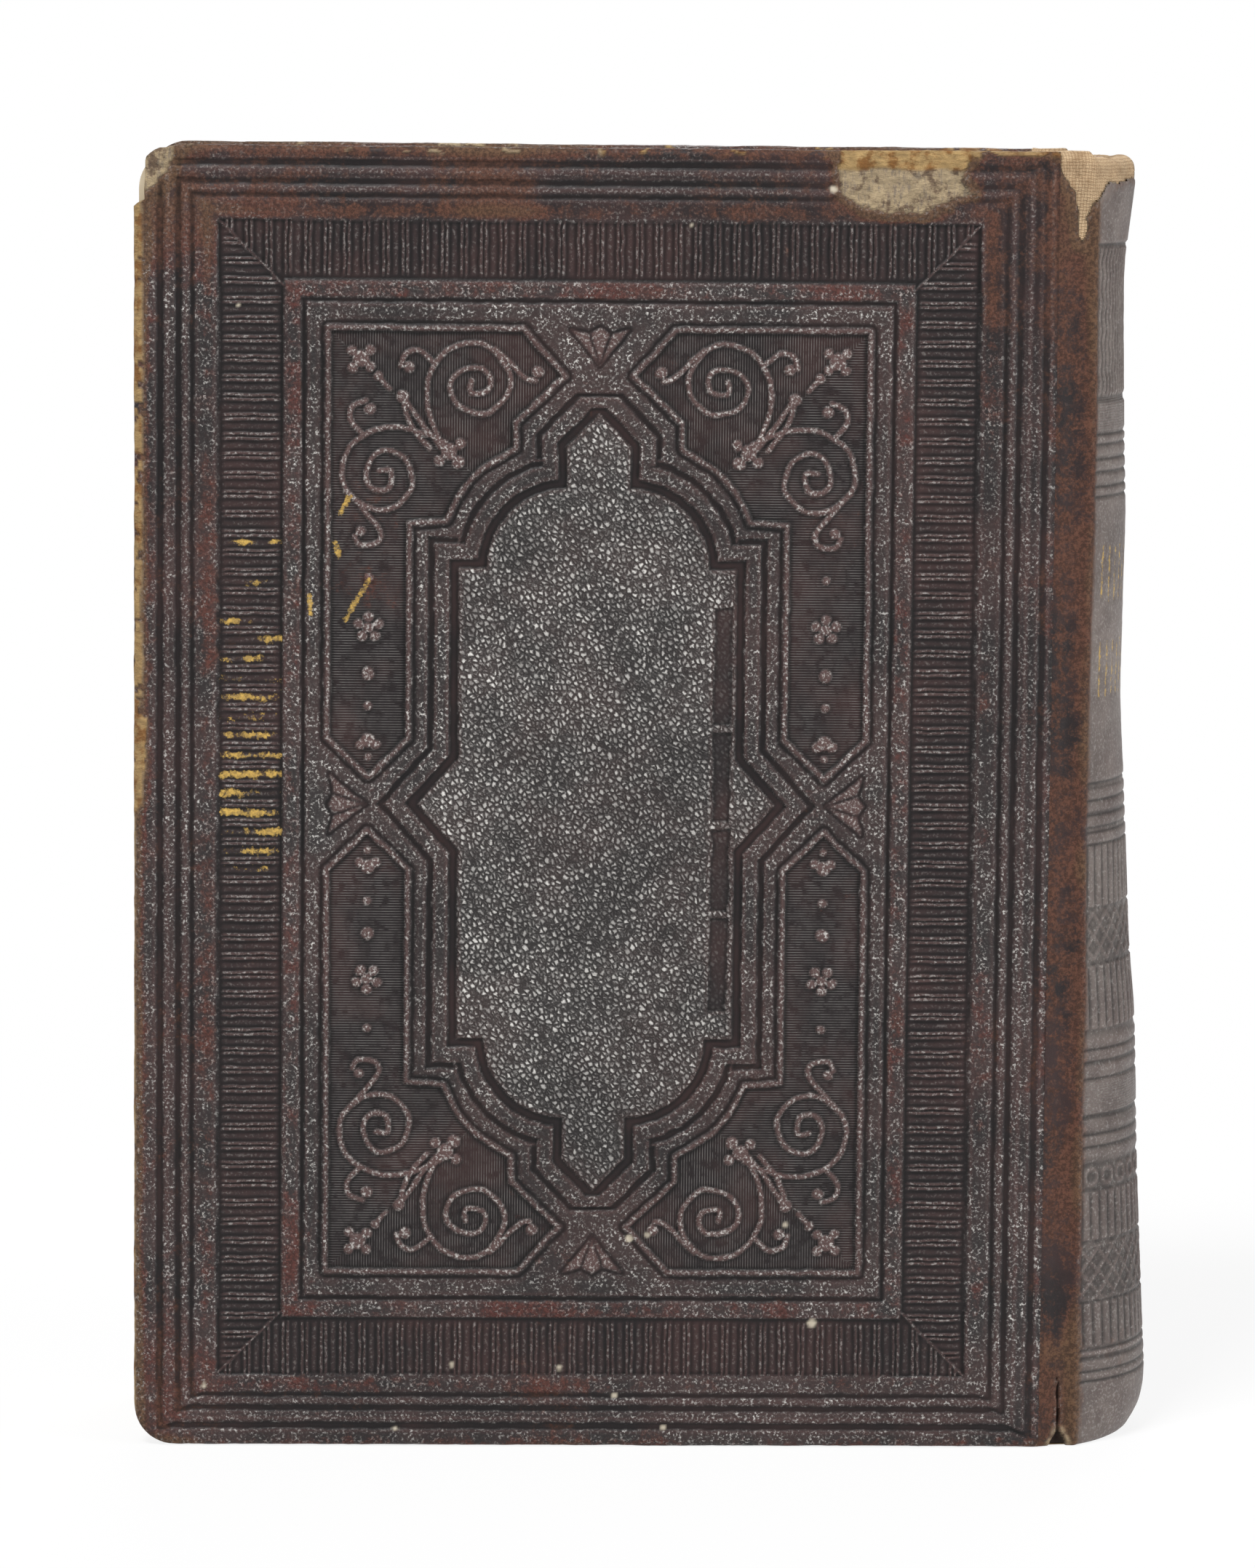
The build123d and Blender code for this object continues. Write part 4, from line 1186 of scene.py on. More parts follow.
# ---- spine ----
@dataclass
class SpineSkin:
    """Leather over the joints and the rounded spine, and the linen that shows where it is worn away.

    A level section runs from the back board over its joint, round the spine and over the front joint. It is
    worked out with the same number of points at every height, so the whole skin is one grid, cut into three.
    """

    book: BookFrame
    skin: Finish
    cloth: Finish
    joint_columns: int = 24
    arc_columns: int = 168
    row_step: float = 0.36
    turn_radius: float = 0.8
    turn_rows: int = 9
    cap_radius: float = 1.9
    stations: tuple = ((0.0, 9.3), (4.0, 11.4), (9.0, 12.0), (17.0, 11.6), (28.0, 10.9), (40.0, 10.3),
                       (52.0, 9.9), (63.0, 9.5), (74.0, 8.5), (93.0, 7.5), (109.0, 6.6), (118.0, 6.6),
                       (138.0, 6.7), (150.0, 6.3), (166.0, 5.9), (174.0, 6.0), (181.0, 6.8), (187.0, 7.4),
                       (192.0, 7.3))
    tear: tuple = ((63.2, 97.0), (64.5, 94.0), (66.2, 93.0), (67.5, 91.0), (68.6, 89.0), (69.2, 85.8),
                   (69.4, 82.4), (69.8, 85.8), (70.6, 87.8), (72.0, 88.7), (73.7, 90.7), (76.9, 91.1),
                   (90.0, 91.4), (90.0, 97.0))
    bands: tuple = ((-85.2, -81.0, Tooling.RULES), (-80.4, -73.8, Tooling.BARS),
                    (-73.2, -65.0, Tooling.LATTICE), (-64.5, -57.2, Tooling.BARS),
                    (-56.8, -53.2, Tooling.RINGS), (-52.6, -46.6, Tooling.RULES),
                    (-45.6, -40.8, Tooling.HATCH), (-40.0, -34.0, Tooling.RULES),
                    (-33.0, -23.5, Tooling.BARS), (-23.0, -15.5, Tooling.LATTICE),
                    (-15.0, -6.0, Tooling.BARS), (-3.5, 3.0, Tooling.RULES), (45.4, 54.0, Tooling.RULES),
                    (54.6, 59.4, Tooling.HATCH), (59.4, 81.2, Tooling.FLUTES))
    slit_u: float = 68.9
    slit_top: float = -84.8

    def bulge(self, z: Array) -> Array:
        """How far the spine stands out past the shoulder at a height: a curve through the stations."""
        curve = np.array(smooth_path(self.stations, 12))
        return np.interp(z, curve[:, 0], curve[:, 1])

    def section(self, z: Array, inset: Array) -> tuple[Array, Array, Array, Array]:
        """Points of the level sections at given heights, set in from the leather's face.

        Over the joint the line is straight; round the spine it is the arc through both shoulders and the
        apex, of radius (b^2 + s^2) / 2b for a bulge b and a shoulder s. Repeated averaging rounds the fold,
        which wanders a little along the book.

        Args:
            z: Height of each row.
            inset: Distance of each row in from the face.

        Returns:
            X and Y of the points, the distance along the face from the apex, and how far each point lies
            from the fold, positive on the spine.
        """
        book, rows = self.book, z[:, None]
        wander = 0.5 * rough(rows, 0 * rows, 34.0, 290, 2)
        bulge = self.bulge(rows) - wander
        radius = (bulge**2 + book.shoulder**2) / (2 * bulge)
        centre = book.fold_x + wander + bulge - radius
        widest = np.arcsin(book.shoulder / radius)
        angle = widest * np.linspace(-1, 1, self.arc_columns)
        share = np.linspace(0, 1, self.joint_columns, endpoint=False)
        joint_x = (book.board_x + share * (book.joint_width + wander)) * np.ones_like(rows)
        joint_y = book.face - book.board_drop - share * (book.shoulder_drop - book.board_drop)
        joint_y = (joint_y - 0.35 * np.sin(math.pi * share) ** 2) * np.ones_like(rows)
        x = np.hstack([joint_x, centre + radius * np.cos(angle), joint_x[:, ::-1]])
        y = np.hstack([-joint_y, radius * np.sin(angle), joint_y[:, ::-1]])
        for _ in range(10):
            x[:, 1:-1] = (x[:, :-2] + 2 * x[:, 1:-1] + x[:, 2:]) / 4
            y[:, 1:-1] = (y[:, :-2] + 2 * y[:, 1:-1] + y[:, 2:]) / 4
        step_x, step_y = np.gradient(x, axis=1), np.gradient(y, axis=1)
        length = np.hypot(step_x, step_y)
        x, y = x - inset[:, None] * step_y / length, y + inset[:, None] * step_x / length
        run = np.cumsum(length, axis=1)
        along = run - run[:, run.shape[1] // 2][:, None]
        return x, y, along, np.abs(along[:, self.joint_columns])[:, None] - np.abs(along)

    @staticmethod
    def pattern(kind: Tooling, along: Array, height: Array) -> Array:
        """Raised share, from 0 to 1, of one row of tooling.

        Args:
            kind: The pattern.
            along: Distance round the spine.
            height: Height from the middle of the row.

        Returns:
            The share for every point.
        """
        if kind is Tooling.RULES:
            return 1 - bump(np.mod(height, 2.0), 1.0, 0.3)
        if kind is Tooling.BARS:
            return 1 - bump(np.mod(along, 1.9), 0.95, 0.4)
        if kind is Tooling.FLUTES:
            swayed = along + 0.22 * np.sin(1.6 * height) + 0.3 * rough(along, height, 4.0, 320, 2)
            return 1 - bump(np.mod(swayed, 1.3), 0.65, 0.24)
        if kind is Tooling.LATTICE:
            slant, other = np.mod(along + height, 3.4), np.mod(along - height, 3.4)
            return np.maximum(bump(slant, 1.7, 0.4), bump(other, 1.7, 0.4))
        if kind is Tooling.RINGS:
            return bump(np.hypot(np.mod(along, 3.6) - 1.8, height), 1.2, 0.35)
        return np.ones_like(along)

    def ornament(self, along: Array, v: Array, inward: Array) -> tuple[Array, Fields]:
        """Relief stamped on the spine.

        Args:
            along: Distance round the spine from its middle.
            v: Height from the book's middle.
            inward: Distance from the fold, positive on the spine.

        Returns:
            Heights, and press, line, hatch_v and gilt from 0 to 1.
        """
        height, hollow = np.zeros(v.shape), np.zeros(v.shape)
        hatch, gilt = np.zeros(v.shape), np.zeros(v.shape)
        reach = ramp(0.3, 1.0, inward)
        for low, high, kind in self.bands:
            inside = trough(v, low, high, 0.3) * reach
            raised = self.pattern(kind, along, v - (low + high) / 2)
            hollow = np.maximum(hollow, inside * (1 - raised))
            if kind is Tooling.HATCH:
                hatch = np.maximum(hatch, inside)
            for level in (low - 0.3, high + 0.3):
                hollow = np.maximum(hollow, trough(v, level - 0.25, level + 0.25, 0.3) * reach)
        for level, size in ((33.8, 4.2), (19.8, 4.2)):
            for place in np.arange(-16.8, 17.0, 2.4).tolist():
                mark = trough(v, level - size, level + size, 0.3) * bump(along, place, 0.5)
                gilt = np.maximum(gilt, 0.75 * mark)
        height -= 0.26 * hollow + 0.1 * gilt
        return height, {"press": 1 - 0.35 * reach * ramp(0, 0.3, hollow),
                        "line": 0.25 * reach * (1 - hollow), "hatch_v": hatch, "gilt": gilt}

    def leather(self) -> Surface:
        """The whole leather skin, from its turn-in at the tail over a half circle to the worn head."""
        book, r = self.book, self.turn_radius
        turns = np.linspace(0, math.pi, self.turn_rows)
        body = np.linspace(book.tail_z + r, book.head_z, int((book.head_z - r) / self.row_step))[1:]
        z = np.concatenate([[12.0, 5.0], r - r * np.sin(turns), body])
        inset = np.concatenate([[2 * r, 2 * r], r + r * np.cos(turns), 0 * body])
        x, y, along, inward = self.section(z, inset)
        rows = np.broadcast_to(z[:, None], x.shape)
        v = rows - book.middle_z
        height, fields = self.ornament(along, v, inward)
        worn = 0.56 + 0.22 * rough(along, v, 9.0, 301) + 0.2 * ramp(60, 90, v) + 0.14 * ramp(-60, -90, v)
        worn += 0.22 * bump(inward, 0.0, 1.5) - 0.4 * ramp(0.6, 2.0, inward)
        distance = self.head_edge(x, v, y, along)
        worn += 0.4 * ramp(-2.5, -0.3, distance)
        height = height + 0.1 * rough(along, v, 16.0, 310, 3) + 0.03 * rough(along, v, 1.5, 315, 2)
        height = height + 0.16 * bump(inward, 0.2, 0.7) * (1 + rough(along, v, 24.0, 318, 2))
        height = height - 0.35 * ramp(-0.8, 0.1, distance)
        gap = self.slit(x, y, v)
        split = 1 - ramp(-0.1, 0.12, gap)
        height = height - 0.9 * split
        outer = (inset < r + 0.01)[:, None]
        x, y = self.pushed(x, y, height * outer)
        fields["wear"] = np.clip(worn, 0, 1)
        # Hollow and ridge of the relief, for painted shade and a painted highlight; the split at the tail is
        # painted fully dark as shade in the gap.
        hollow, fields["ridge"] = hollows_and_ridges(height, self.row_step, 0.25)
        fields["hollow"] = np.maximum(0.8 * hollow, split)
        torn = 0.8 * bump(gap, 0.45, 0.35) * ramp(-91.5, -93.0, v)
        fields["bare"] = np.maximum(0.9 * ramp(-0.35, 0.05, distance), torn)
        # Grey over the spine past the fold, more towards the head: dust, and a painted sheen where the spine
        # turns to the side light.
        dust = ramp(0.2, 1.2, inward) * (0.8 + 0.35 * rough(along, v, 12.0, 340, 3))
        fields["dust"] = np.clip(dust * (0.6 + 0.3 * ramp(-70, 20, v)), 0, 1)
        fields["lost"] = (distance > 0).astype(float)
        points = np.stack([x, y, rows], -1).reshape(-1, 3)
        return Surface(points, grid_quads(*x.shape), {k: np.asarray(f).ravel() for k, f in fields.items()})

    @staticmethod
    def pushed(x: Array, y: Array, height: Array) -> tuple[Array, Array]:
        """Points of level sections moved outwards by a height."""
        step_x, step_y = np.gradient(x, axis=1), np.gradient(y, axis=1)
        length = np.hypot(step_x, step_y)
        return x + height * step_y / length, y - height * step_x / length

    def slit(self, x: Array, y: Array, v: Array) -> Array:
        """Distance from the edge of the split at the tail of the back joint, negative inside it."""
        ragged = 0.12 * rough(x, v, 0.9, 360, 2)
        half = 0.14 * ramp(self.slit_top, -86.0, v) + 1.1 * ramp(-92.2, -95.0, v)
        sway = 0.3 * rough(v, 0 * v, 4.0, 362, 2)
        gap = np.abs(x - self.book.panel_x - self.slit_u - sway) - half + ragged
        return np.where((y < 0) & (v < self.slit_top), gap, 9.0)

    def head_edge(self, x: Array, v: Array, y: Array, along: Array) -> Array:
        """Distance past the ragged edge of the leather at the head; positive where it is lost."""
        ragged = 0.45 * rough(along, v, 2.2, 330) + 0.25 * rough(along, v, 0.7, 333, 2)
        back = -signed_distance(self.tear, x - self.book.panel_x, v)
        front = v - 92.6 - 0.6 * rough(along, v * 0, 6.0, 340)
        return np.where(y < 0, back, front) + ragged

    def linen(self) -> Surface:
        """Linen under the leather at the head, rolled over at its uneven top into a quarter circle."""
        book, r = self.book, self.cap_radius
        climb = np.arange(168.0, book.head_z - r, 0.3)
        turns = np.linspace(0, math.pi / 2, 9)[1:]
        z = np.concatenate([climb, book.head_z - r + r * np.sin(turns),
                            [book.head_z - 0.2, book.head_z - 3.0]])
        inset = np.concatenate([0.4 + 0 * climb, 0.4 + r - r * np.cos(turns), [r + 1.2, r + 1.3]])
        x, y, along, inward = self.section(z, inset)
        sunk = 0.45 * rough(along, 0 * along, 6.0, 350) - 0.1 - 0.7 * ramp(-1.0, 2.5, inward)
        rows = z[:, None] + sunk * ramp(180.0, book.head_z, z[:, None])
        creased = 0.3 * rough(along, rows, 5.0, 355, 3) + 0.14 * rough(along, 3 * rows, 2.4, 358, 2)
        crumple = creased * ramp(84, 90, rows - book.middle_z)
        x, y = self.pushed(x, y, crumple)
        fields = {"along": along.ravel() * MM}
        return Surface(np.stack([x, y, rows], -1).reshape(-1, 3), grid_quads(*x.shape), fields)

    def cut(self, whole: Surface, name: str, material: bpy.types.Material, nodes: str) -> None:
        """Cut a full grid into the two joint strips and the spine."""
        columns = self.arc_columns + 2 * self.joint_columns
        column = np.arange(len(whole.points)) % columns
        fold = self.joint_columns + 1
        spans = {"back_joint": column > fold, "spine": (column < fold) | (column > columns - 1 - fold),
                 "front_joint": column < columns - 1 - fold}
        lost = whole.fields.pop("lost", None)
        for place, outside in spans.items():
            part = whole.without(outside if lost is None else outside | (lost > 0.5))
            piece = make_piece(f"{place}_{name}", part, material)
            if place == "spine":
                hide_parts(f"back_{nodes}", f"front_{nodes}")
                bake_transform(piece)
                continue
            side = Side.BACK if place.startswith("back") else Side.FRONT
            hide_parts(f"{side.word}_{nodes}")
            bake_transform(piece)

    def build(self) -> None:
        """Build the leather and the linen."""
        self.cut(self.leather(), "leather", self.skin.material(), "spine_leather")
        self.cut(self.linen(), "linen", self.cloth.material(), "spine_linen")


# ---- block ----
@dataclass
class PageEdges:
    """Cut edges of the leaves of one half of the block, round its head, fore-edge and tail."""

    book: BookFrame
    side: Side
    paper: Finish
    leaves: int = 96
    proud: float = 0.05
    jitter: float = 0.16
    step: float = 2.5

    def build(self) -> None:
        """Ribbon of leaf edges.

        The path runs along the head, down the fore-edge and along the tail. Across it, each leaf has three
        samples: two in its valleys and one on its crown, which stands out by a random amount for each leaf
        that also wanders slowly along the path.
        """
        inner = box_mm(f"{self.side.word[:5]}_flyleaf")[0 if self.side is Side.FRONT else 1][1]
        names = ("section_13", "section_24") if self.side is Side.FRONT else ("section_12", "section_01")
        near_box, far_box = box_mm(names[0]), box_mm(names[1])
        sign = self.side.value
        near = min(abs(near_box[0][1]), abs(near_box[1][1]))
        far = max(abs(far_box[0][1]), abs(far_box[1][1]))
        log.info("page edges %s: %.2f to %.2f, flyleaf at %.2f", self.side.word, near, far, inner)
        generator = np.random.default_rng(400 + sign)
        y = np.linspace(near, far, 2 * self.leaves + 1)
        crown = (np.arange(len(y)) % 2 == 1).astype(float)
        stand = generator.uniform(0.2, 1.0, len(y)) * crown
        radius_near, radius_far = near_box[1][0], far_box[1][0]
        share = (y - near) / (far - near)
        back_x = radius_near + (radius_far - radius_near) * share**1.9
        fore_x = near_box[0][0] + (far_box[0][0] - near_box[0][0]) * share**1.9
        tail, head = near_box[0][2], near_box[1][2]
        count_x, count_z = int((back_x[0] - fore_x[0]) / self.step), int((head - tail) / self.step)
        run_x, run_z = np.linspace(0, 1, count_x)[:, None], np.linspace(0, 1, count_z)[1:-1, None]
        along_head = back_x + run_x * (fore_x - back_x)
        x = np.vstack([along_head, fore_x + 0 * run_z, along_head[::-1]])
        z = np.vstack([head + 0 * along_head, head + run_z * (tail - head) + 0 * fore_x,
                       tail + 0 * along_head])
        out_x = np.vstack([0 * along_head, -1 + 0 * run_z + 0 * fore_x, 0 * along_head])
        out_z = np.vstack([1 + 0 * along_head, 0 * run_z + 0 * fore_x, -1 + 0 * along_head])
        out_x[count_x - 1], out_x[-count_x] = -1, -1
        place = np.arange(len(x))[:, None] * self.step
        wander = 0.5 + 0.5 * rough(place / 40.0 + 0 * x, y / 0.16 + 0 * x, 1.0, 410 + sign, 2)
        lift = self.proud + self.jitter * stand * wander
        level = (1.0 + 0 * x) * sign * y
        points = np.stack([x + out_x * lift, level, z + out_z * lift], -1)
        fields = {"valley": np.broadcast_to(1 - crown, x.shape).ravel()}
        surface = Surface(points.reshape(-1, 3), grid_quads(*x.shape, flip=self.side is Side.BACK), fields)
        piece = make_piece(f"{self.side.word}_page_edges", surface, self.paper.material())
        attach(piece, f"{self.side.word}_half")


@dataclass
class EndBand:
    """Sewn band at one end of one half of the block: a roll wrapped with silk of two colours."""

    node: str
    body: str
    silk: Finish
    radius: float = 0.95
    strand: float = 0.5
    around: int = 14

    def build(self) -> None:
        """Tube along the node's arc, with one low ridge for each turn of silk."""
        low, high = box_mm(self.node)
        sign = 1 if high[1] > 1 else -1
        near, far = min(abs(low[1]), abs(high[1])), max(abs(low[1]), abs(high[1]))
        inner_x, outer_x = low[0] + self.radius, high[0] - self.radius
        y = np.linspace(near, far, int((far - near) / self.strand * 6))[:, None]
        drop = outer_x - inner_x
        bend = (drop**2 + (far - near) ** 2) / (2 * drop)
        x = outer_x - bend + np.sqrt(bend**2 - (y - near) ** 2)
        turn = np.linspace(0, 2 * math.pi, self.around + 1)
        ridge = self.radius * (0.94 + 0.06 * np.abs(np.sin(math.pi * y / self.strand + 0.5 * turn)))
        points = np.stack([x + ridge * np.cos(turn), sign * y + 0 * turn,
                           (low[2] + high[2]) / 2 + ridge * np.sin(turn)], -1)
        surface = Surface(points.reshape(-1, 3), grid_quads(*points.shape[:2], flip=sign < 0))
        piece = make_piece(f"{self.node}_silk", surface, self.silk.material())
        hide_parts(self.node)
        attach(piece, self.body)


@dataclass(frozen=True)
class Paper(Finish):
    """Old paper, yellowed unevenly and foxed; on leaf edges the valleys are darkened as painted shade."""

    base: Colour = srgb(226, 209, 172)
    toned: Colour = srgb(193, 164, 116)
    spots: Colour = srgb(139, 98, 58)
    spotting: float = 0.5
    valleys: bool = False

    def write(self, sheet: Sheet, shader: bpy.types.Node) -> None:
        """Toning, foxing and fibre."""
        place = sheet.place()
        aged = sheet.use(ageing_effect(), {"Vector": place, "Spots": self.spotting}).outputs
        colour = sheet.mix(sheet.steps(aged["Toning"], 0.35, 0.7), self.base, self.toned)
        colour = sheet.mix(aged["Foxing"], colour, self.spots)
        fibre = sheet.noise(sheet.stretched(place, (1.0, 6.0, 1.0)), 900.0, 4.0, 0.6)
        colour = sheet.tint(colour, sheet.blend(fibre, 0.86, 1.08))
        if self.valleys:
            # Painted shade in the valleys between the leaf edges.
            colour = sheet.tint(colour, sheet.blend(sheet.field("valley"), 1.0, 0.55))
        sheet.feed(shader.inputs["Base Color"], colour)
        sheet.feed(shader.inputs["Roughness"], sheet.blend(fibre, 0.75, 0.92))
        shader.inputs["Specular IOR Level"].default_value = 0.3
        sheet.feed(shader.inputs["Normal"], sheet.bumped(fibre, 0.3, 0.0001))


@dataclass(frozen=True)
class Linen(Finish):
    """Unbleached cloth of uneven threads, browned by glue and dirt."""

    base: Colour = srgb(197, 170, 136)
    deep: Colour = srgb(134, 104, 74)
    pitch: float = 0.00046
    by_field: bool = True

    def write(self, sheet: Sheet, shader: bpy.types.Node) -> None:
        """Weave and stains."""
        place = sheet.place()
        axes = sheet.node("SeparateXYZ", {"Vector": place}).outputs
        across = sheet.field("along") if self.by_field else axes[1]
        weave = sheet.use(weave_effect(), {"Vector": place, "Across": across, "Up": axes[2],
                                           "Pitch": self.pitch}).outputs
        stains = sheet.steps(sheet.noise(place, 300.0, 5.0, 0.7), 0.45, 0.7)
        colour = sheet.mix(sheet.steps(weave["Tone"], 0.05, 0.8), self.deep, self.base)
        colour = sheet.mix(sheet.times(stains, 0.6), colour, self.deep)
        shading = sheet.steps(sheet.noise(place, 170.0, 3.0), 0.35, 0.65)
        colour = sheet.tint(colour, sheet.blend(shading, 0.8, 1.06))
        sheet.feed(shader.inputs["Base Color"], colour)
        shader.inputs["Roughness"].default_value = 0.88
        shader.inputs["Specular IOR Level"].default_value = 0.25
        sheet.feed(shader.inputs["Normal"], sheet.bumped(weave["Height"], 0.8, 0.00015))


@dataclass(frozen=True)
class Silk(Finish):
    """Band silk in stripes of two colours, dulled by dust."""

    light: Colour = srgb(205, 186, 150)
    red: Colour = srgb(120, 46, 40)
    stripe: float = 0.002

    def write(self, sheet: Sheet, shader: bpy.types.Node) -> None:
        """Stripes across the band."""
        place = sheet.place()
        axes = sheet.node("SeparateXYZ", {"Vector": place}).outputs
        turns = sheet.math("PINGPONG", sheet.math("DIVIDE", axes[1], self.stripe), 1.0)
        dust = sheet.noise(place, 700.0, 4.0, 0.6)
        colour = sheet.mix(sheet.steps(turns, 0.45, 0.55), self.light, self.red)
        colour = sheet.tint(colour, sheet.blend(dust, 0.7, 1.1))
        sheet.feed(shader.inputs["Base Color"], colour)
        sheet.feed(shader.inputs["Roughness"], sheet.blend(dust, 0.5, 0.8))


@dataclass(frozen=True)
class Millboard(Finish):
    """Grey-brown pasted board with flecks of fibre."""

    base: Colour = srgb(158, 136, 105)
    fleck: Colour = srgb(106, 88, 66)

    def write(self, sheet: Sheet, shader: bpy.types.Node) -> None:
        """Flecks and layers."""
        place = sheet.place()
        layers = sheet.noise(sheet.stretched(place, (0.4, 5.0, 0.4)), 700.0, 4.0, 0.6)
        flecks = sheet.steps(sheet.noise(place, 1500.0, 3.0, 0.7), 0.55, 0.7)
        colour = sheet.tint(sheet.mix(flecks, self.base, self.fleck), sheet.blend(layers, 0.75, 1.15))
        sheet.feed(shader.inputs["Base Color"], colour)
        sheet.feed(shader.inputs["Roughness"], sheet.blend(layers, 0.8, 0.95))
        sheet.feed(shader.inputs["Normal"], sheet.bumped(layers, 0.5, 0.0002))


@dataclass(frozen=True)
class Thread(Finish):
    """Waxed sewing thread with a twist."""

    base: Colour = srgb(206, 190, 158)
    # Dark colour of the twist's grooves: painted shade.
    groove: Colour = (0.25, 0.2, 0.14)
    twist: float = 0.00022

    def write(self, sheet: Sheet, shader: bpy.types.Node) -> None:
        """Twist lines slanting across the thread, darkened in their grooves as painted shade."""
        axes = sheet.node("SeparateXYZ", {"Vector": sheet.place()}).outputs
        slant = sheet.plus(axes[1], axes[2])
        twist = sheet.math("PINGPONG", sheet.math("DIVIDE", slant, self.twist), 1.0)
        striped = sheet.mix(twist, self.base, self.groove)
        soiled = sheet.blend(sheet.noise(sheet.place(), 900.0), 0.8, 1.1)
        sheet.feed(shader.inputs["Base Color"], sheet.tint(striped, soiled))
        sheet.feed(shader.inputs["Roughness"], sheet.blend(twist, 0.55, 0.75))


@dataclass
class BareNodes:
    """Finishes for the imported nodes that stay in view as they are."""

    finishes: dict[str, Finish]

    def build(self) -> None:
        """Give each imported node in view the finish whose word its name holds."""
        for name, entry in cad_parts.items():
            item = entry if isinstance(entry, bpy.types.Object) else bpy.data.objects.get(name)
            if item is None or item.hide_render:
                continue
            kind = next((key for key in self.finishes if key in name), None)
            if kind is None:
                log.info("no finish for %s", name)
                continue
            material = self.finishes[kind].material()
            for place in range(max(1, len(item.material_slots))):
                if item.material_slots:
                    item.material_slots[place].material = material
                else:
                    item.data.materials.append(material)
            log.info("%s: %s", name, kind)


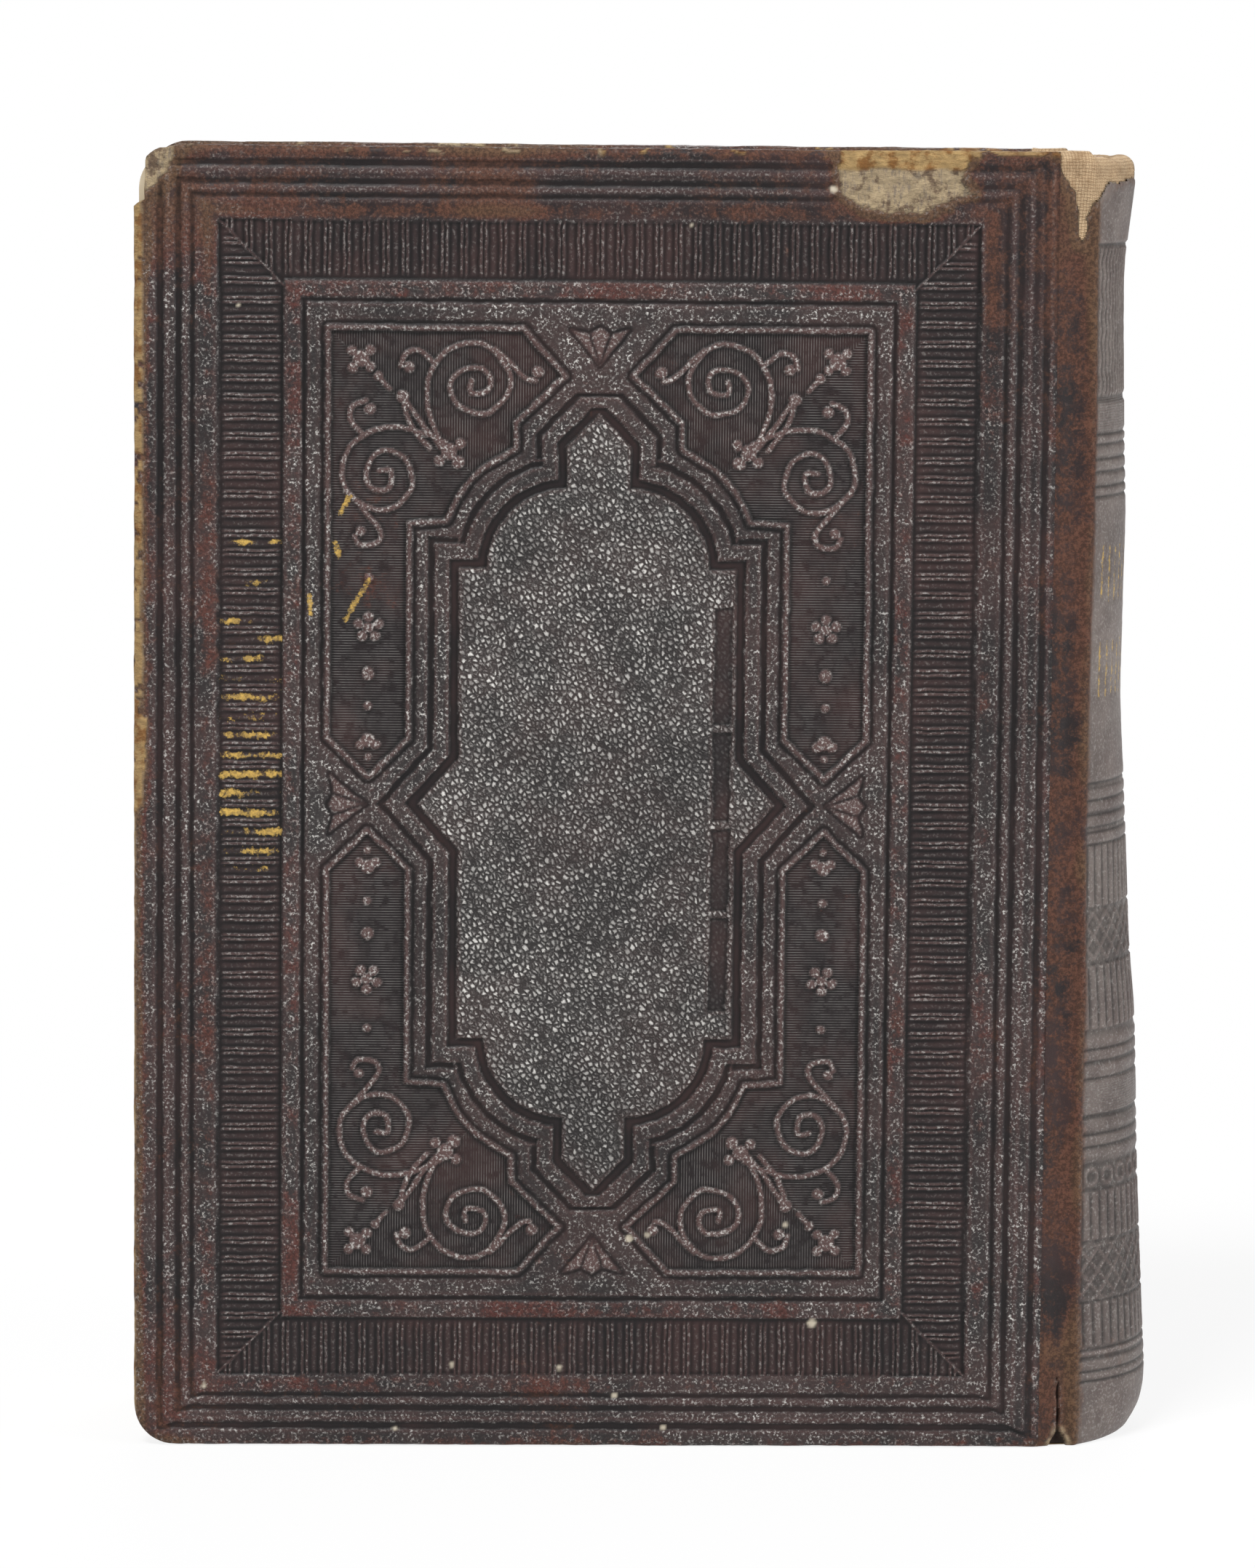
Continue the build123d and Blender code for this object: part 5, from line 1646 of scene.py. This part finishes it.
# ---- room ----
@dataclass
class Room:
    """White floor, soft lights and the camera."""

    camera_place: tuple[float, float, float] = (-27.29, -890.0, 201.09)
    yaw: float = 0.02713
    pitch: float = 0.11773
    roll: float = 0.00943
    lens: float = 173.3
    floor_half: float = 3.0

    def camera(self) -> None:
        """Camera a little above the book's head and square to its back cover.

        Its forward direction is (sin yaw cos pitch, cos yaw cos pitch, -sin pitch), then turned by the roll.
        """
        forward = np.array([math.sin(self.yaw) * math.cos(self.pitch),
                            math.cos(self.yaw) * math.cos(self.pitch), -math.sin(self.pitch)])
        level = np.array([math.cos(self.yaw), -math.sin(self.yaw), 0.0])
        upward = np.cross(level, forward)
        right = level * math.cos(self.roll) + upward * math.sin(self.roll)
        upward = upward * math.cos(self.roll) - level * math.sin(self.roll)
        data = bpy.data.cameras.new("view")
        data.lens, data.sensor_width, data.sensor_fit = self.lens, 36.0, "HORIZONTAL"
        data.clip_start, data.clip_end = 0.01, 20.0
        view = bpy.data.objects.new("view", data)
        bpy.context.scene.collection.objects.link(view)
        axes = np.eye(4)
        axes[:3, 0], axes[:3, 1], axes[:3, 2] = right, upward, -forward
        axes[:3, 3] = np.array(self.camera_place) * MM
        view.matrix_world = Matrix(axes.tolist())
        bpy.context.scene.camera = view

    def lamp(self, name: str, place: tuple, aim: tuple, size: tuple, power: float) -> None:
        """Large soft lamp.

        Args:
            name: Name of the lamp.
            place: Its place, in metres.
            aim: Where it points, in metres.
            size: Width and height, in metres.
            power: Power in watts.
        """
        data = bpy.data.lights.new(name, "AREA")
        data.shape, data.size, data.size_y, data.energy = "RECTANGLE", size[0], size[1], power
        item = bpy.data.objects.new(name, data)
        bpy.context.scene.collection.objects.link(item)
        way = np.array(place) - np.array(aim)
        way = way / np.linalg.norm(way)
        across = np.cross([0.0, 0.0, 1.0], way)
        across = across / np.linalg.norm(across)
        axes = np.eye(4)
        axes[:3, 0], axes[:3, 1], axes[:3, 2], axes[:3, 3] = across, np.cross(way, across), way, place
        item.matrix_world = Matrix(axes.tolist())

    def floor(self) -> None:
        """Plain white floor that keeps the book's shadow."""
        span = np.linspace(-self.floor_half, self.floor_half, 9) / MM
        x, y = np.meshgrid(span, span)
        points = np.stack([x, y, np.full(x.shape, 0.0)], -1).reshape(-1, 3)
        mesh = bpy.data.meshes.new("floor")
        mesh.from_pydata((points * MM).tolist(), [], grid_quads(9, 9).tolist())
        made = bpy.data.materials.new("floor_white")
        made.use_nodes = True
        made.node_tree.nodes.clear()
        sheet = Sheet(made.node_tree)
        shade = sheet.node("BsdfDiffuse", {"Color": (0.9, 0.9, 0.9)})
        glow = sheet.node("Emission", {"Color": (1.0, 1.0, 1.0), "Strength": 1.0})
        path = sheet.node("LightPath").outputs
        seen = sheet.larger(path["Is Camera Ray"], path["Is Glossy Ray"])
        away = sheet.node("VectorMath", {0: sheet.place()}, operation="LENGTH").outputs["Value"]
        share = sheet.times(seen, sheet.blend(sheet.steps(away, 0.15, 0.5), 0.86, 1.0))
        mixed = sheet.node("MixShader", {0: share, 1: shade.outputs[0], 2: glow.outputs[0]})
        sheet.node("OutputMaterial", {"Surface": mixed.outputs[0]})
        mesh.materials.append(made)
        floor = bpy.data.objects.new("floor", mesh)
        bpy.context.scene.collection.objects.link(floor)

    def sky(self) -> None:
        """Even light all round, which the camera and transmission rays see as white."""
        world = bpy.data.worlds.new("room")
        bpy.context.scene.world = world
        world.use_nodes = True
        world.node_tree.nodes.clear()
        sheet = Sheet(world.node_tree)
        path = sheet.node("LightPath").outputs
        seen = sheet.larger(path["Is Camera Ray"], path["Is Transmission Ray"])
        strength = sheet.blend(seen, 0.22, 1.0)
        glow = sheet.node("Background", {"Color": (1.0, 1.0, 1.0), "Strength": strength})
        sheet.node("OutputWorld", {"Surface": glow.outputs[0]})

    def build(self) -> None:
        """Set up the floor, the lights and the camera."""
        bpy.context.scene.view_settings.view_transform = "Standard"
        self.camera()
        self.floor()
        self.sky()
        middle = (0.0, 0.0, 0.1)
        self.lamp("key", (-0.35, -0.62, 1.15), middle, (0.4, 0.3), 14.5)
        self.lamp("side", (1.1, -0.5, 0.45), middle, (0.4, 0.9), 7.0)
        self.lamp("back", (0.2, 1.3, 0.9), middle, (0.9, 0.6), 10.0)


def main() -> None:
    """Dress the book piece by piece and set up the room."""
    logging.basicConfig(level=logging.INFO, format="%(name)s %(message)s")
    book = BookFrame()
    skin = StampedLeather("stamped_leather")
    for side in Side:
        Cover(book, side, skin, fine=0.26 if side is Side.BACK else 0.34).build()
        PageEdges(book, side, Paper("page_edges", valleys=True)).build()
        for end in ("head", "tail"):
            EndBand(f"{side.word}_{end}_band", f"{side.word}_half", Silk("band_silk")).build()
    SpineSkin(book, skin, Linen("worn_linen")).build()
    leaf, block = Paper("leaf_paper"), Paper("block_paper", spotting=0.2)
    BareNodes({"flyleaf": Paper("endpaper", spotting=0.8), "pastedown": Paper("endpaper", spotting=0.8),
               "leaf": leaf, "section": block, "lining": Paper("lining_paper", base=srgb(170, 148, 112)),
               "tapes": Linen("tape_cloth", by_field=False), "stitches": Thread("sewing_thread"),
               "board": Millboard("millboard")}).build()
    Room().build()


if __name__ == "__main__":
    main()
